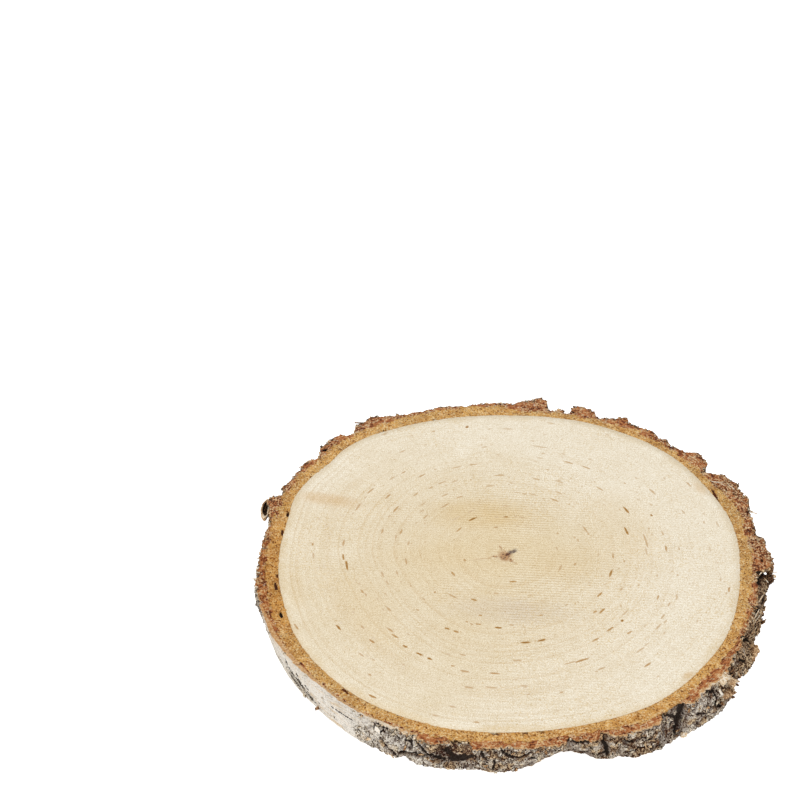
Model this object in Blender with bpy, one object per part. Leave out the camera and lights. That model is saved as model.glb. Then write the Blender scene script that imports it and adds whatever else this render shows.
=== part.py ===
"""Birch wood slice: a thin disc sawn straight across a birch stem, with its bark still on.

Metres, +Z up. The slice lies on its lower sawn face, at z = 0. Angles are in degrees about the pith,
anticlockwise from +X seen from above. Bark sizes are reaches in millimetres, outwards from the wood's edge.
The wood, the inner bark and the outer bark grew as one piece, so they are one closed body.
"""

import math

import bmesh
import bpy
from mathutils import Vector, noise

MM = 0.001

# Driving sizes
THICKNESS = 0.016
PITH_X = -0.0040
PITH_Y = 0.0042
STATIONS = 360
BARK_SINK = 0.0003
WOOD_STEP_WIDTH = 0.4
RIM_CHIP_WIDTH = 0.7
RIM_CHIP_DROP = 0.0004
LEAST_BAND = 0.45

# Edge of the wood, as angle and radius from the pith
WOOD_EDGE = (
    (0, 111.7), (8, 112.5), (22, 111.5), (36, 111.8), (47, 113.2), (53, 111.3), (64, 109.0), (75, 107.9),
    (90, 105.3), (105, 105.7), (120, 107.7), (133, 111.0), (140, 111.1), (146.5, 108.5), (152, 110.1),
    (160, 110.8), (168, 109.5), (178, 108.4), (190, 109.8), (200, 112.0), (212, 114.1), (225, 116.3),
    (240, 118.2), (252, 118.2), (260, 119.2), (268, 117.2), (278, 116.8), (290, 116.6), (303, 118.1),
    (314, 116.4), (324, 115.9), (336, 114.0), (346, 112.0), (353, 112.0),
)

# Outer edge of the ochre inner bark
INNER_BARK = (
    (0, 5.7), (15, 5.5), (23, 7.0), (30, 5.0), (46, 3.5), (57, 5.4), (70, 4.4), (86, 4.3), (94, 7.5),
    (125, 7.1), (134, 5.5), (150, 6.0), (162, 5.5), (180, 7.2), (208, 8.0), (230, 6.5), (246, 6.8),
    (258, 5.0), (265, 6.2), (288, 4.7), (308, 6.0), (317, 5.0), (328, 5.8), (338, 5.2), (350, 5.7),
)

# Outer edge of the bark on the upper face: lobes of cork, with fissures and broken notches between them
TOP_RIM = (
    (0, 15.0), (4, 14.6), (5, 13.5), (7, 14.0), (9, 12.5), (10.5, 8.7), (13, 10.0), (20, 13.0), (22, 14.7),
    (26, 14.2), (28.3, 15.8), (29, 14.0), (32, 12.5), (33, 8.0), (34.3, 7.0), (35, 4.0), (35.8, 6.5),
    (36.5, 10.5), (40, 12.0), (41.3, 11.3), (43, 7.0), (45, 7.0), (47, 5.8), (49, 7.0), (50.5, 5.0),
    (52, 7.0), (54, 9.5), (56, 8.6), (60.3, 8.6), (61.3, 12.2), (62.5, 10.0), (64, 8.0), (67, 7.0),
    (69.5, 10.0), (74.5, 11.7), (75.2, 4.7), (76.5, 4.7), (77, 6.3), (80, 5.5), (81.3, 13.0), (83.2, 15.3),
    (86, 13.0), (90, 10.0), (98, 10.0), (103, 8.5), (109, 10.2), (113, 9.5), (118, 9.5), (122, 11.3),
    (124.5, 11.8), (125.7, 14.7), (127, 12.5), (129.5, 12.5), (130.3, 14.0), (131, 11.0), (133.3, 6.2),
    (135.2, 6.2), (135.8, 10.0), (139, 11.0), (143, 10.5), (144.5, 8.0), (146, 7.0), (148, 9.3),
    (154, 9.1), (156.5, 7.5), (158.5, 9.2), (160, 9.2), (160.7, 6.3), (162.5, 6.3), (163.6, 11.0),
    (166, 14.5), (170, 13.0), (172.5, 9.5), (186, 9.0), (200, 10.0), (206, 9.0), (215, 9.0), (230, 8.0),
    (245, 8.0), (252, 8.4), (254.5, 10.2), (257, 11.0), (259, 8.0), (261, 7.0), (264.5, 7.5), (265.5, 12.0),
    (268, 10.5), (272, 9.0), (276, 10.0), (282, 10.0), (284, 9.0), (285, 6.5), (286.3, 10.0), (290.5, 10.5),
    (291.7, 6.5), (292.6, 6.5), (294, 10.2), (300, 10.2), (304, 11.0), (306, 6.5), (310.5, 6.5),
    (311.5, 9.5), (313, 10.5), (316, 9.5), (322, 11.0), (325, 10.0), (328, 8.2), (333, 8.2), (335, 6.5),
    (340, 6.5), (344, 8.7), (352, 8.7), (354.3, 7.0), (357.8, 7.0), (359, 12.0),
)

# Bark surface half way down the side
SIDE_REACH = (
    (0, 16.5), (5, 16.0), (9, 13.5), (12, 11.0), (22, 14.0), (29, 14.5), (33, 10.0), (35, 6.5), (38, 11.0),
    (42, 10.0), (47, 7.0), (54, 9.0), (61, 10.5), (66, 8.0), (72, 10.5), (75.8, 6.5), (79, 7.5), (82, 13.0),
    (86, 12.5), (92, 10.5), (103, 9.0), (112, 10.0), (124, 12.0), (130, 12.0), (134, 7.5), (140, 10.5),
    (146, 8.0), (154, 9.5), (161, 7.5), (166, 10.5), (175, 9.0), (188, 9.5), (196, 9.6), (205, 8.4),
    (215, 8.0), (225, 8.5), (235, 8.3), (245, 9.2), (252, 10.2), (257, 10.6), (260, 6.0), (264, 5.5),
    (266.5, 10.0), (272, 9.8), (279, 9.0), (283.5, 6.5), (287, 7.5), (290.5, 9.5), (292.3, 6.0),
    (294.5, 11.0), (303, 12.0), (306.5, 7.0), (309.5, 7.0), (313, 12.0), (321, 13.2), (327, 11.5),
    (333, 12.0), (337, 9.0), (343, 11.0), (352, 12.5), (356, 15.0),
)

# Outer edge of the bark on the lower face, broken into the wood near 285 degrees
LOW_RIM = (
    (0, 13.8), (8, 13.0), (12, 11.0), (22, 13.0), (29, 13.5), (35, 7.5), (40, 10.0), (47, 7.5), (56, 9.0),
    (66, 8.5), (74, 10.0), (77, 7.5), (83, 12.0), (92, 10.5), (105, 9.5), (115, 10.0), (127, 11.5),
    (134, 8.5), (141, 10.5), (150, 9.0), (161, 8.0), (170, 10.0), (180, 9.0), (187, 9.6), (197, 9.0),
    (206, 6.8), (213.5, 6.2), (220, 7.1), (227.5, 8.0), (236, 7.3), (242.7, 9.3), (250.3, 11.4),
    (251.7, 6.7), (254, 10.6), (258.6, 9.0), (265.4, 8.7), (273.4, 9.2), (278, 5.0), (281.4, 1.0),
    (285.5, -1.8), (289.4, 3.5), (292.7, 8.5), (298.3, 11.8), (304, 12.4), (309.5, 10.5), (314, 13.0),
    (321, 14.6), (327.2, 12.4), (329, 10.0), (333.7, 12.5), (339, 13.6), (342, 10.8), (352, 11.5),
)

# Roughness of the bark's side: 1 where it is scaly, near 0 on the stretch of smooth paper
SIDE_ROUGHNESS = ((0, 1.0), (198, 1.0), (208, 0.15), (236, 0.15), (248, 1.0))

# Rows of points down the side, as parts of the thickness
SIDE_ROWS = (0.07, 0.2, 0.34, 0.48, 0.62, 0.78, 0.93)

# Scales on the bark's side, with cracks between them, and the waviness of their faces
SCALE_WIDTH = 0.010
SCALE_HEIGHT = 0.008
CRACK_DEPTH = 2.2
CRACK_SHARE = 0.3
SCALE_WAVE = 0.9

WOOD, INNER, OUTER = range(3)


def neighbours(ring, angle):
    """The four points of a closed list round an angle, with angles that keep rising."""
    turns = len(ring)
    after = next((i for i, point in enumerate(ring) if point[0] > angle), turns)
    picked = []
    for i in range(after - 2, after + 2):
        lap, place = divmod(i, turns)
        picked.append((ring[place][0] + 360 * lap, ring[place][1]))
    return picked


def straight(ring, angle):
    """A closed list read with straight runs between its points."""
    _, (a0, v0), (a1, v1), _ = neighbours(ring, angle % 360)
    return v0 + (v1 - v0) * (angle % 360 - a0) / (a1 - a0)


def smooth(ring, angle):
    """A closed list read as one smooth curve through its points."""
    (a0, v0), (a1, v1), (a2, v2), (a3, v3) = neighbours(ring, angle % 360)
    width = a2 - a1
    t = (angle % 360 - a1) / width
    leave = (v2 - v0) / (a2 - a0) * width
    arrive = (v3 - v1) / (a3 - a1) * width
    turn = 3 * (v2 - v1) - 2 * leave - arrive
    ease = leave + arrive - 2 * (v2 - v1)
    return v1 + t * (leave + t * (turn + t * ease))


def side_reach(angle, depth):
    """Reach of the bark at a depth that runs from 0 at the upper face to 1 at the lower."""
    middle = straight(SIDE_REACH, angle)
    if depth < 0.5:
        start, end, share = straight(TOP_RIM, angle), middle, depth / 0.5
    else:
        start, end, share = middle, straight(LOW_RIM, angle), (depth - 0.5) / 0.5
    return start + (end - start) * share


def scale_relief(angle, depth):
    """How far the scales stand out of the bark's side or lie back in it."""
    around = math.radians(angle)
    radius = smooth(WOOD_EDGE, angle) * MM
    spot = Vector((
        radius * math.cos(around) / SCALE_WIDTH,
        radius * math.sin(around) / SCALE_WIDTH,
        depth * THICKNESS / SCALE_HEIGHT,
    ))
    nearest, second = noise.voronoi(spot)[0][:2]
    crack = 1 - min(1.0, (second - nearest) / CRACK_SHARE)
    wave = noise.fractal(2 * spot, 1.0, 2.0, 2)
    edge_fade = min(1.0, 5 * depth, 5 * (1 - depth))
    rough = straight(SIDE_ROUGHNESS, angle)
    return rough * edge_fade * (SCALE_WAVE * wave - CRACK_DEPTH * crack)


def section(angle):
    """The slice's outline down one side, as reach and height, from the wood's upper edge to its lower one."""
    top = straight(TOP_RIM, angle)
    low = straight(LOW_RIM, angle)
    width = smooth(INNER_BARK, angle)
    inner_top = max(WOOD_STEP_WIDTH + LEAST_BAND, min(width, top - RIM_CHIP_WIDTH - LEAST_BAND))
    inner_low = min(width, low - RIM_CHIP_WIDTH - LEAST_BAND)
    points = [
        (0.0, THICKNESS, WOOD),
        (WOOD_STEP_WIDTH, THICKNESS - BARK_SINK, WOOD),
        (inner_top, THICKNESS - BARK_SINK, INNER),
        (top - RIM_CHIP_WIDTH, THICKNESS - BARK_SINK - RIM_CHIP_DROP / 2, OUTER),
    ]
    for depth in SIDE_ROWS:
        reach = side_reach(angle, depth) + scale_relief(angle, depth)
        points.append((reach, THICKNESS * (1 - depth), OUTER))
    points += [
        (low - RIM_CHIP_WIDTH, BARK_SINK + RIM_CHIP_DROP / 2, OUTER),
        (inner_low, BARK_SINK, OUTER),
        (min(WOOD_STEP_WIDTH, inner_low - LEAST_BAND), BARK_SINK, INNER),
        (min(0.0, inner_low - LEAST_BAND - WOOD_STEP_WIDTH), 0.0, WOOD),
    ]
    return points


def place(angle, reach, height):
    """A point of the slice from its angle, its reach beyond the wood's edge and its height."""
    around = math.radians(angle)
    radius = (smooth(WOOD_EDGE, angle) + reach) * MM
    return Vector((PITH_X + radius * math.cos(around), PITH_Y + radius * math.sin(around), height))


def grow_slice(name, materials):
    """Sawn upper face first, then band after band extruded outwards, down the bark and in below."""
    mesh = bmesh.new()
    station = mesh.verts.layers.int.new("station")
    angles = [360 * i / STATIONS for i in range(STATIONS)]
    sections = [section(angle) for angle in angles]
    edge = []
    for i, angle in enumerate(angles):
        point = mesh.verts.new(place(angle, *sections[i][0][:2]))
        point[station] = i
        edge.append(point)
    rim = list(mesh.faces.new(edge).edges)
    for row in range(1, len(sections[0])):
        made = bmesh.ops.extrude_edge_only(mesh, edges=rim)["geom"]
        points = {item for item in made if isinstance(item, bmesh.types.BMVert)}
        for point in points:
            i = point[station]
            point.co = place(angles[i], *sections[i][row][:2])
        for face in (item for item in made if isinstance(item, bmesh.types.BMFace)):
            face.material_index = sections[0][row][2]
        edges = (item for item in made if isinstance(item, bmesh.types.BMEdge))
        rim = [item for item in edges if points.issuperset(item.verts)]
    bmesh.ops.contextual_create(mesh, geom=rim)
    bmesh.ops.recalc_face_normals(mesh, faces=mesh.faces)
    data = bpy.data.meshes.new(name)
    mesh.to_mesh(data)
    mesh.free()
    for material in materials:
        data.materials.append(material)
    data.shade_smooth()
    data.set_sharp_from_angle(angle=math.radians(35))
    slice_object = bpy.data.objects.new(name, data)
    bpy.context.scene.collection.objects.link(slice_object)
    return slice_object


def finish(name, colour, roughness):
    """A plain material in the colour of one layer of the stem."""
    material = bpy.data.materials.new(name)
    material.use_nodes = True
    shader = material.node_tree.nodes["Principled BSDF"]
    shader.inputs["Base Color"].default_value = (*colour, 1.0)
    shader.inputs["Roughness"].default_value = roughness
    shader.inputs["Metallic"].default_value = 0.0
    return material


def main():
    for old in list(bpy.data.objects):
        bpy.data.objects.remove(old)
    layers = (
        finish("sawn_birch", (0.83, 0.72, 0.55), 0.6),
        finish("ochre_inner_bark", (0.55, 0.31, 0.10), 0.85),
        finish("grey_outer_bark", (0.30, 0.24, 0.20), 0.9),
    )
    grow_slice("birch_slice", layers)


main()
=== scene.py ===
"""Birch wood slice: sawn wood with growth rings and flecks, ochre inner bark and ragged outer bark.

Metres, +Z up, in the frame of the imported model. Angles are in degrees about the pith, anticlockwise from +X
seen from above. Bark sizes are reaches in millimetres, outwards from the wood's edge.
"""

import math
from contextlib import contextmanager

import bpy
import numpy as np
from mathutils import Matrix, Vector, noise


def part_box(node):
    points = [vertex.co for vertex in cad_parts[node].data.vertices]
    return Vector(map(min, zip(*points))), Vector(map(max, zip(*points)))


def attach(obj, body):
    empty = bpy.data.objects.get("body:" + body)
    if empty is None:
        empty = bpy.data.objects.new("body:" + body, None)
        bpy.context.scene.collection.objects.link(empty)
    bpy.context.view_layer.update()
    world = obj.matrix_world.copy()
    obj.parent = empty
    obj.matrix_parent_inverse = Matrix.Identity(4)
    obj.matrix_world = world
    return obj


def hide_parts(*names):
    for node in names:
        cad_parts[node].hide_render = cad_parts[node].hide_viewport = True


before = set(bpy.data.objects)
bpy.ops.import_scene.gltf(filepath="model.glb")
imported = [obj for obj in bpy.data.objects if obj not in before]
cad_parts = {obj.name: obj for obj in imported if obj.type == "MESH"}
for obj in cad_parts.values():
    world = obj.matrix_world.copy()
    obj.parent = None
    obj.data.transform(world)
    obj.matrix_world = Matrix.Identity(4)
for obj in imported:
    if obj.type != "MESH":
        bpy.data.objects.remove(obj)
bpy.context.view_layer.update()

bl_info = {
    "name": "Birch wood slice",
    "version": (1, 0, 0),
    "blender": (4, 5, 0),
    "location": "3D View > Sidebar > Birch slice",
    "description": "Dresses a thin birch slice: sawn wood, flecks, pith, inner bark and ragged outer bark",
    "category": "Add Mesh",
}

MM = 0.001
NODE = "birch_slice"
BODY = "root"
LOWER_FACE = float(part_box(NODE)[0][2])
UPPER_FACE = float(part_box(NODE)[1][2])
PITH = (-0.0040, 0.0042)

# Thickness of the slice in mm, and the foot of the pith, from which points in mm are measured
THICK = (UPPER_FACE - LOWER_FACE) / MM
FOOT = np.array([*PITH, LOWER_FACE])

# How much brighter the stage shows a colour than its surface is
STAGE_LIGHT = 1.45

# Least width of the outer bark in mm
LEAST_OUTER_BARK = 0.9

# Number of small flecks drawn beside the listed ones, of loose flakes in all, and of rim crumbs
SMALL_FLECKS = 170
FLAKE_COUNT = 330
CRUMB_COUNT = 520

# Edge of the wood, as angle and radius from the pith
WOOD_EDGE = (
    (0, 111.5), (9, 112.3), (18, 112.6), (30, 111.9), (42, 112.3), (51, 111.8), (60, 110.2), (72, 108.5),
    (81, 106.7), (90, 105.3), (105, 105.7), (120, 107.7), (132, 110.5), (140, 110.7), (146, 109.2),
    (152, 110), (160, 110.5), (165, 109.7), (170, 108.3), (178, 108.1), (190, 109.1), (200, 110.4),
    (206, 111.5), (213, 113.7), (225, 116), (240, 118), (252, 118.2), (260, 118.4), (268, 117.2),
    (278, 116.4), (290, 116.3), (300, 117), (307, 117.4), (315, 116.5), (324, 115.2), (336, 114.1),
    (345, 112.4), (354, 111.5),
)

# A strong growth ring half way out, which the others follow
MIDDLE_RING = (
    (0, 77), (30, 77), (60, 76.4), (95, 79.5), (150, 79.6), (180, 78), (205, 74), (227, 76.4), (256, 82),
    (297, 79), (320, 77.2),
)
MIDDLE_RING_SIZE = 78.0
EDGE_RING_SIZE = 112.0

# Outer edge of the ochre inner bark
INNER_BARK = (
    (0, 5.7), (15, 5.5), (23, 6.6), (30, 4.8), (46, 4.2), (57, 5.2), (70, 4), (86, 4.3), (94, 7.5),
    (125, 7.1), (134, 5.8), (150, 6), (162, 5.4), (172, 6.4), (180, 6), (190, 6.2), (200, 6), (208, 6.2),
    (218, 6.2), (230, 5.6), (240, 5.9), (246, 6.4), (258, 5.4), (265, 6.2), (288, 4.9), (299, 6.6),
    (308, 6.4), (317, 5), (328, 5.8), (338, 5.4), (350, 5.7),
)

# Outer edge of the bark on the upper face: lobes of cork, with fissures and broken notches between them
TOP_RIM = (
    (0, 15.8), (4, 15.6), (5, 13.4), (7, 13.4), (9, 13.4), (10.5, 9.6), (13, 10.4), (17, 10.6), (20, 12.6),
    (22, 15.2), (26, 14.5), (28.3, 16.2), (29, 14.5), (32, 13.6), (33, 9.4), (34.3, 7.4), (35, 4.3),
    (35.8, 7), (36.5, 11.3), (40, 13), (41.3, 12.4), (43, 8), (45, 7.6), (48, 6.6), (49.5, 9.2), (51, 7.2),
    (52, 7.9), (54, 10.2), (56, 9.4), (60.3, 9.8), (61.3, 13.3), (62.5, 12), (64, 9.8), (67, 6.8),
    (68.4, 6.8), (69.5, 11.6), (74.8, 13.4), (75.2, 5.2), (76.5, 5.3), (77, 7), (80.6, 5.6), (81.8, 14.1),
    (83.2, 16.6), (86, 14.2), (90, 10.7), (98, 10.9), (103, 8.9), (109, 10.6), (113, 9.7), (118, 9.5),
    (121, 10.2), (122, 11.8), (124.5, 13.1), (125.7, 14.6), (127, 14), (128, 12.6), (129.5, 11.8),
    (130.3, 13.4), (131, 11.2), (133.3, 6.9), (135.2, 7.5), (135.8, 11.1), (139, 11.4), (141.5, 10.5),
    (143, 11.2), (144.5, 9.4), (146, 7), (148, 10.2), (150, 10), (152, 8.8), (154, 8.9), (156.5, 7.7),
    (158.5, 8.8), (160, 9.6), (160.7, 7.4), (162.5, 7), (163.6, 11.3), (165.5, 13.8), (167, 12),
    (169.5, 10.6), (174, 8), (178, 9), (184, 9.2), (190, 10.2), (195, 11.8), (200, 11), (206, 11),
    (215, 10), (230, 8.2), (245, 8.2), (252, 8.6), (254.5, 10.4), (257, 11.4), (259, 8.8), (261, 7.6),
    (264.5, 7.6), (265.5, 12), (268, 10.5), (272, 9), (276, 10), (282, 10.2), (284, 9.2), (285, 6.7),
    (286.3, 10.2), (290.5, 10.7), (291.7, 6.7), (292.6, 6.7), (294, 10.6), (300, 11.2), (304, 11.8),
    (306, 6.8), (310.5, 6.5), (311.5, 9.5), (313, 10.5), (316, 9.5), (322, 11.4), (325, 10.6), (328, 8.8),
    (333, 8.4), (335, 6.7), (340, 6.7), (344, 8.7), (352, 8.9), (354.3, 7.3), (357.8, 7.4), (359, 12.6),
)

# Bark surface half way down the side
SIDE_REACH = (
    (0, 12.6), (3, 12.8), (5, 12.2), (9, 13.5), (12, 11), (22, 14), (29, 14.5), (33, 10), (35, 6.5),
    (38, 11), (42, 10), (47, 7), (54, 9), (61, 10.5), (66, 8), (72, 10.5), (75.8, 6.5), (79, 7.5), (82, 13),
    (86, 12.5), (92, 10.5), (103, 9), (112, 10), (124, 12), (130, 12), (134, 7.5), (140, 10.5), (146, 8),
    (154, 9.5), (161, 7.5), (166, 10.5), (175, 7.8), (183, 9), (190, 10.2), (195, 11.4), (201, 9.4),
    (205, 10), (215, 9), (225, 8.6), (235, 8.3), (245, 9.2), (252, 10.2), (257, 10.6), (260, 6), (264, 5.5),
    (266.5, 10), (272, 9.8), (279, 9), (283.5, 6.5), (287, 7.5), (290.5, 9.5), (292.3, 7), (294.5, 11),
    (303, 12), (306.5, 7), (309.5, 7), (313, 12), (321, 13.2), (327, 11.5), (333, 12), (337, 9.4),
    (341, 9.4), (344, 9.6), (347, 12.4), (352, 12.4), (354.5, 13.8), (357, 13.4),
)

# Outer edge of the bark on the lower face, broken into the wood near 285 degrees
LOW_RIM = (
    (0, 9), (3, 10.4), (8, 11.6), (12, 11), (22, 13), (29, 13.5), (35, 7.5), (40, 10), (47, 7.5), (56, 9),
    (66, 8.5), (74, 10), (77, 7.5), (83, 12), (92, 10.5), (105, 9.5), (115, 10), (127, 11.5), (134, 8.5),
    (141, 10.5), (150, 9), (161, 8), (170, 10), (174, 8.4), (178, 8.2), (183, 8.4), (189, 9.8), (194, 11),
    (200, 8.2), (206, 8.2), (213.5, 7.4), (220, 7.5), (227.5, 7.5), (236, 8.6), (242.7, 9.6), (249.8, 10.6),
    (251.5, 7.8), (254, 11), (258.6, 9.8), (265.4, 8.7), (273.4, 9.2), (278, 5), (281.4, 1), (285.5, -2.2),
    (289.4, 3.2), (291.5, 8.2), (295.6, 9), (298.3, 12.2), (304, 13), (309.5, 11.4), (314, 13.5),
    (321, 14.8), (327.2, 12.4), (329, 9.6), (332, 11.6), (334.5, 14), (337, 12.6), (341, 11), (343.5, 10.6),
    (347, 12.6), (350, 12), (354, 12.6), (356, 11.2), (358, 8.6),
)

# Along the stem's girth: how scaly the side is, how much of it is white paper, and how grey the scales are
ROUGH = (
    (0, 1), (198, 1), (208, 0.12), (238, 0.15), (246, 0.8), (252, 1),
)
PAPER = (
    (0, 0), (55, 0), (70, 0.5), (100, 0.6), (115, 0), (188, 0), (200, 0.15), (206, 0.95), (238, 1),
    (246, 0.3), (262, 0.05), (318, 0), (340, 0),
)
GREY = (
    (0, 0.15), (20, 0.2), (45, 0.5), (90, 0.8), (140, 0.6), (175, 0.2), (187, 0.25), (191, 0.95), (215, 1),
    (250, 1), (256, 0.62), (270, 0.55), (300, 0.5), (310, 0.7), (318, 0.6), (326, 0.4), (340, 0.2),
)

# How deep and golden the bark's colours are round the stem
DEEP = (
    (0, 0.1), (150, 0), (168, 0.3), (182, 0.95), (202, 1), (212, 0.55), (224, 0.1), (245, 0.05),
    (256, 0.28), (340, 0.28), (350, 0),
)

# Where round the stem the cork is smooth rather than grainy
CALM = (
    (0, 0.2), (12, 0), (36, 0.1), (50, 0.55), (100, 0.6), (165, 0.5), (180, 0.3), (240, 0.3), (256, 1),
    (334, 1), (344, 0.2),
)

# The pits are sunk; their black is painted shade in the hole, their red-brown is their own colour
# Dark pits beside the wood: angle, reach, half length in degrees, half width in mm, lean in mm, redness
BARK_PITS = (
    (26, 1.1, 3.4, 0.8, 2.6, 0.6), (88, 0.2, 0.5, 0.8, 0, 0.2), (112, 0.5, 0.4, 1, 0, 0.3),
    (126.4, 0.4, 0.7, 0.9, 0, 0.3), (147, -0.6, 0.8, 0.8, 0, 0.7), (153.2, 0, 0.7, 0.6, 0, 0.3),
    (168.7, 0.8, 1.2, 0.8, -0.4, 0.2), (175.8, 0.7, 1.3, 0.8, -0.8, 0.4), (191.8, 0.7, 1, 0.5, 0, 0.7),
    (195.8, 1.8, 1.6, 0.8, -0.6, 0.4), (205.5, 2.7, 1.3, 0.9, 0, 0), (234.3, 0.9, 1.2, 0.8, 0.5, 0.9),
    (269.5, 0.5, 1.4, 0.7, 1, 0.8), (276, 0.6, 0.8, 0.5, 0, 0.8), (279.8, 0.6, 0.6, 0.4, 0.4, 0.7),
    (142.3, 8, 1, 1.1, 0, 0), (262, 6.6, 2.6, 0.8, 0, 0.1), (356.3, 8.6, 1.4, 1.1, 0, 0),
    (306.5, 7, 1.2, 0.8, 0, 0.2), (2, 10.6, 0.7, 0.6, 0, 0.1), (74.2, 7.3, 0.5, 0.9, 0, 0.2),
    (81.2, 10, 0.3, 2, 0, 0), (63.6, 9, 0.5, 0.7, 0, 0.1),
)

# Dark marks on the paper: angle, height, half length in degrees, half height in mm, lean in mm, strength
SIDE_MARKS = (
    (219.5, 10, 2.4, 1.6, -1.4, 0.58), (223.6, 7.6, 2.6, 2, -2, 0.62), (227.4, 4.4, 2, 1.6, -1.2, 0.6),
    (221, 5, 2.4, 1.6, -1, 0.52), (225.6, 9.4, 0.8, 0.9, -0.4, 0.8), (229.6, 6, 0.5, 0.6, 0, 0.8),
    (218.2, 12.6, 0.7, 1.2, -0.4, 0.8), (222.4, 11.8, 0.6, 1.4, -0.8, 0.8), (236.4, 10.2, 4.2, 0.5, 0.2, 1),
    (233.2, 7.6, 1.6, 0.3, 0, 0.6), (214.5, 12, 1.2, 0.4, -0.6, 0.5), (229.8, 2.4, 1.2, 0.7, 0.3, 0.6),
    (240.5, 6, 2, 0.4, 0, 0.7),
)

# Cracks on the side: half width and depth in mm, then points along the crack as angle and height
CRACKS = (
    (0.95, 3, ((250.6, 2.6), (252.7, 5.2), (256.6, 7.6), (258.3, 5), (259.4, 4.2))),
    (0.32, 0.6, ((244.5, 12), (244.7, 14.5), (245.3, 15.3), (246.5, 14.2), (246.6, 12.3), (245.6, 10.6),
                 (244.5, 12))),
    (0.40, 0.8, ((246.7, 14.6), (248.6, 13.4), (249.5, 13.1), (250.3, 11.6))),
    (0.40, 0.8, ((251.8, 9.6), (251.7, 12.6), (252.9, 12.9), (253.3, 10.2), (252.4, 8.8))),
    (0.60, 1.2, ((253.1, 15.8), (254.3, 13.8), (254.9, 12.2), (255.6, 10.6), (257.6, 7.6), (259.6, 4.4))),
    (0.45, 0.8, ((246.1, 8.6), (247.3, 5.4), (248.6, 3.6), (249.8, 2.2))),
    (1.65, 6, ((260, 9.6), (260.6, 8), (261.4, 6.4), (262.8, 6.4), (263.8, 7.4))),
    (1.00, 3, ((265.8, 8.8), (263.2, 5.4), (260.6, 4.6))),
    (0.50, 0.9, ((267.2, 15), (267, 12.6), (268.4, 8.5), (269.8, 7.4), (269.4, 2))),
    (0.50, 0.8, ((270.8, 14.6), (272.4, 11), (274.8, 10.2), (276.6, 12.4))),
    (0.45, 0.8, ((277, 8.5), (279.5, 6.6), (281.5, 8.4), (283.5, 12.6))),
    (0.60, 1.4, ((284.4, 15.5), (286, 15), (288.4, 15.6))),
    (0.85, 3, ((291.8, 15.9), (292.3, 10.5), (293, 7), (293.1, 2.6))),
    (0.50, 1, ((285.8, 10), (287.6, 6), (290.4, 3.8), (292.8, 4.2))),
    (0.35, 0.6, ((296, 12), (298.2, 9.6), (300.4, 11), (301.6, 8), (304.2, 7.4))),
    (0.35, 0.6, ((297, 4), (299.8, 5.6), (302.4, 3.6))),
    (1.80, 5, ((311, 15.8), (310.6, 12), (310.2, 9.8), (309.6, 5.5), (309, 3))),
    (0.90, 2.2, ((305.6, 15.2), (307.6, 12.4), (309.6, 9), (308, 6.6))),
    (0.70, 1.4, ((317.6, 15), (319.2, 13.4), (319.6, 9.5), (319.2, 6.4), (320.6, 3))),
    (0.50, 1, ((313.6, 8.6), (315.6, 6), (317.8, 7))),
    (0.60, 1.5, ((325.6, 14.4), (326.4, 11), (327.6, 8.2), (328, 4))),
    (0.70, 1.4, ((331.4, 15.2), (331, 11.6), (332.6, 8.4), (333.2, 4.6))),
    (1.10, 2.4, ((335.6, 15), (336.4, 12.8), (338.3, 9.9), (338.9, 6.4), (337.6, 4))),
    (0.55, 1.4, ((341, 12.9), (346, 12.2), (352.4, 12.4))),
    (0.60, 1.5, ((340.6, 9.6), (345.8, 9.8), (353, 9))),
    (0.55, 1.4, ((342.6, 6.6), (348, 7), (352.4, 6))),
    (1.30, 3.2, ((354.8, 13.6), (357.4, 12.4), (359.2, 11.6), (362, 9), (365, 6))),
    (0.80, 1.6, ((356.2, 12.6), (354.8, 9.6), (355.2, 6.6))),
    (0.60, 0.8, ((194.8, 15.4), (195.4, 12), (196.2, 7), (196, 4))),
    (0.55, 0.8, ((197.8, 14.8), (199.4, 12), (200.8, 9.4), (201.2, 7))),
)

# Patches on the side where the bark is lighter, darker or warmer, in the form of SIDE_MARKS
LIGHT_PATCHES = (
    (245.5, 13, 0.9, 2, 0, 2.4), (243, 9, 3.6, 8, 0, 0.6), (250.5, 8.5, 3.6, 5, 0, 0.65),
    (256, 3.4, 3.4, 2, -0.4, 0.6), (262, 1.6, 5, 1.8, 0.3, 0.3), (268, 2, 3, 2, 0, 0.3),
    (289.6, 9, 2.6, 4.4, 0, 0.75), (315.6, 10.8, 2.6, 3, 0, 0.5), (311.2, 0.6, 1.2, 1.2, 0, 1.2),
    (280, 4.6, 6, 4, 0, 1.3), (334, 6.5, 2.4, 3, 0, 0.3), (347, 11, 6, 1, 0, 0.5),
)
DARK_PATCHES = (
    (272, 11, 5, 4, 0, 0.3), (303, 6, 3.4, 4, 0, 0.25), (318.6, 13, 1.6, 2.6, 0, 0.7),
    (360, 7, 4, 6, 0, 0.8), (330.5, 9, 1.6, 3, 0, 0.5), (339, 13, 2, 3, 0, 0.35),
    (261, 9.8, 3.8, 4.8, 0, 1.3), (198, 11, 3.6, 6, 0, 0.5),
)
WARM_PATCHES = (
    (312.5, 5.8, 1.3, 1.8, 0, 1), (270.4, 4.4, 1.6, 2, 0.3, 0.9), (246.5, 5.4, 0.9, 1.6, -0.6, 1),
    (255.6, 15.8, 3.2, 1.4, -0.3, 0.8), (268.2, 0.8, 2, 0.9, 0, 0.7), (263.6, 11.4, 2.4, 3.4, 0, 1.4),
    (258.2, 12.8, 2.2, 3, 0, 1.4), (318.8, 4.6, 1.6, 1.6, 0, 0.8), (248.6, 0.8, 2, 1, 0.5, 0.6),
    (326, 10, 2, 4, 0, 0.6), (292, 13.5, 1.6, 2.6, 0, 0.5), (329.6, 4, 2, 2, 0, 0.6),
)

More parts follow.
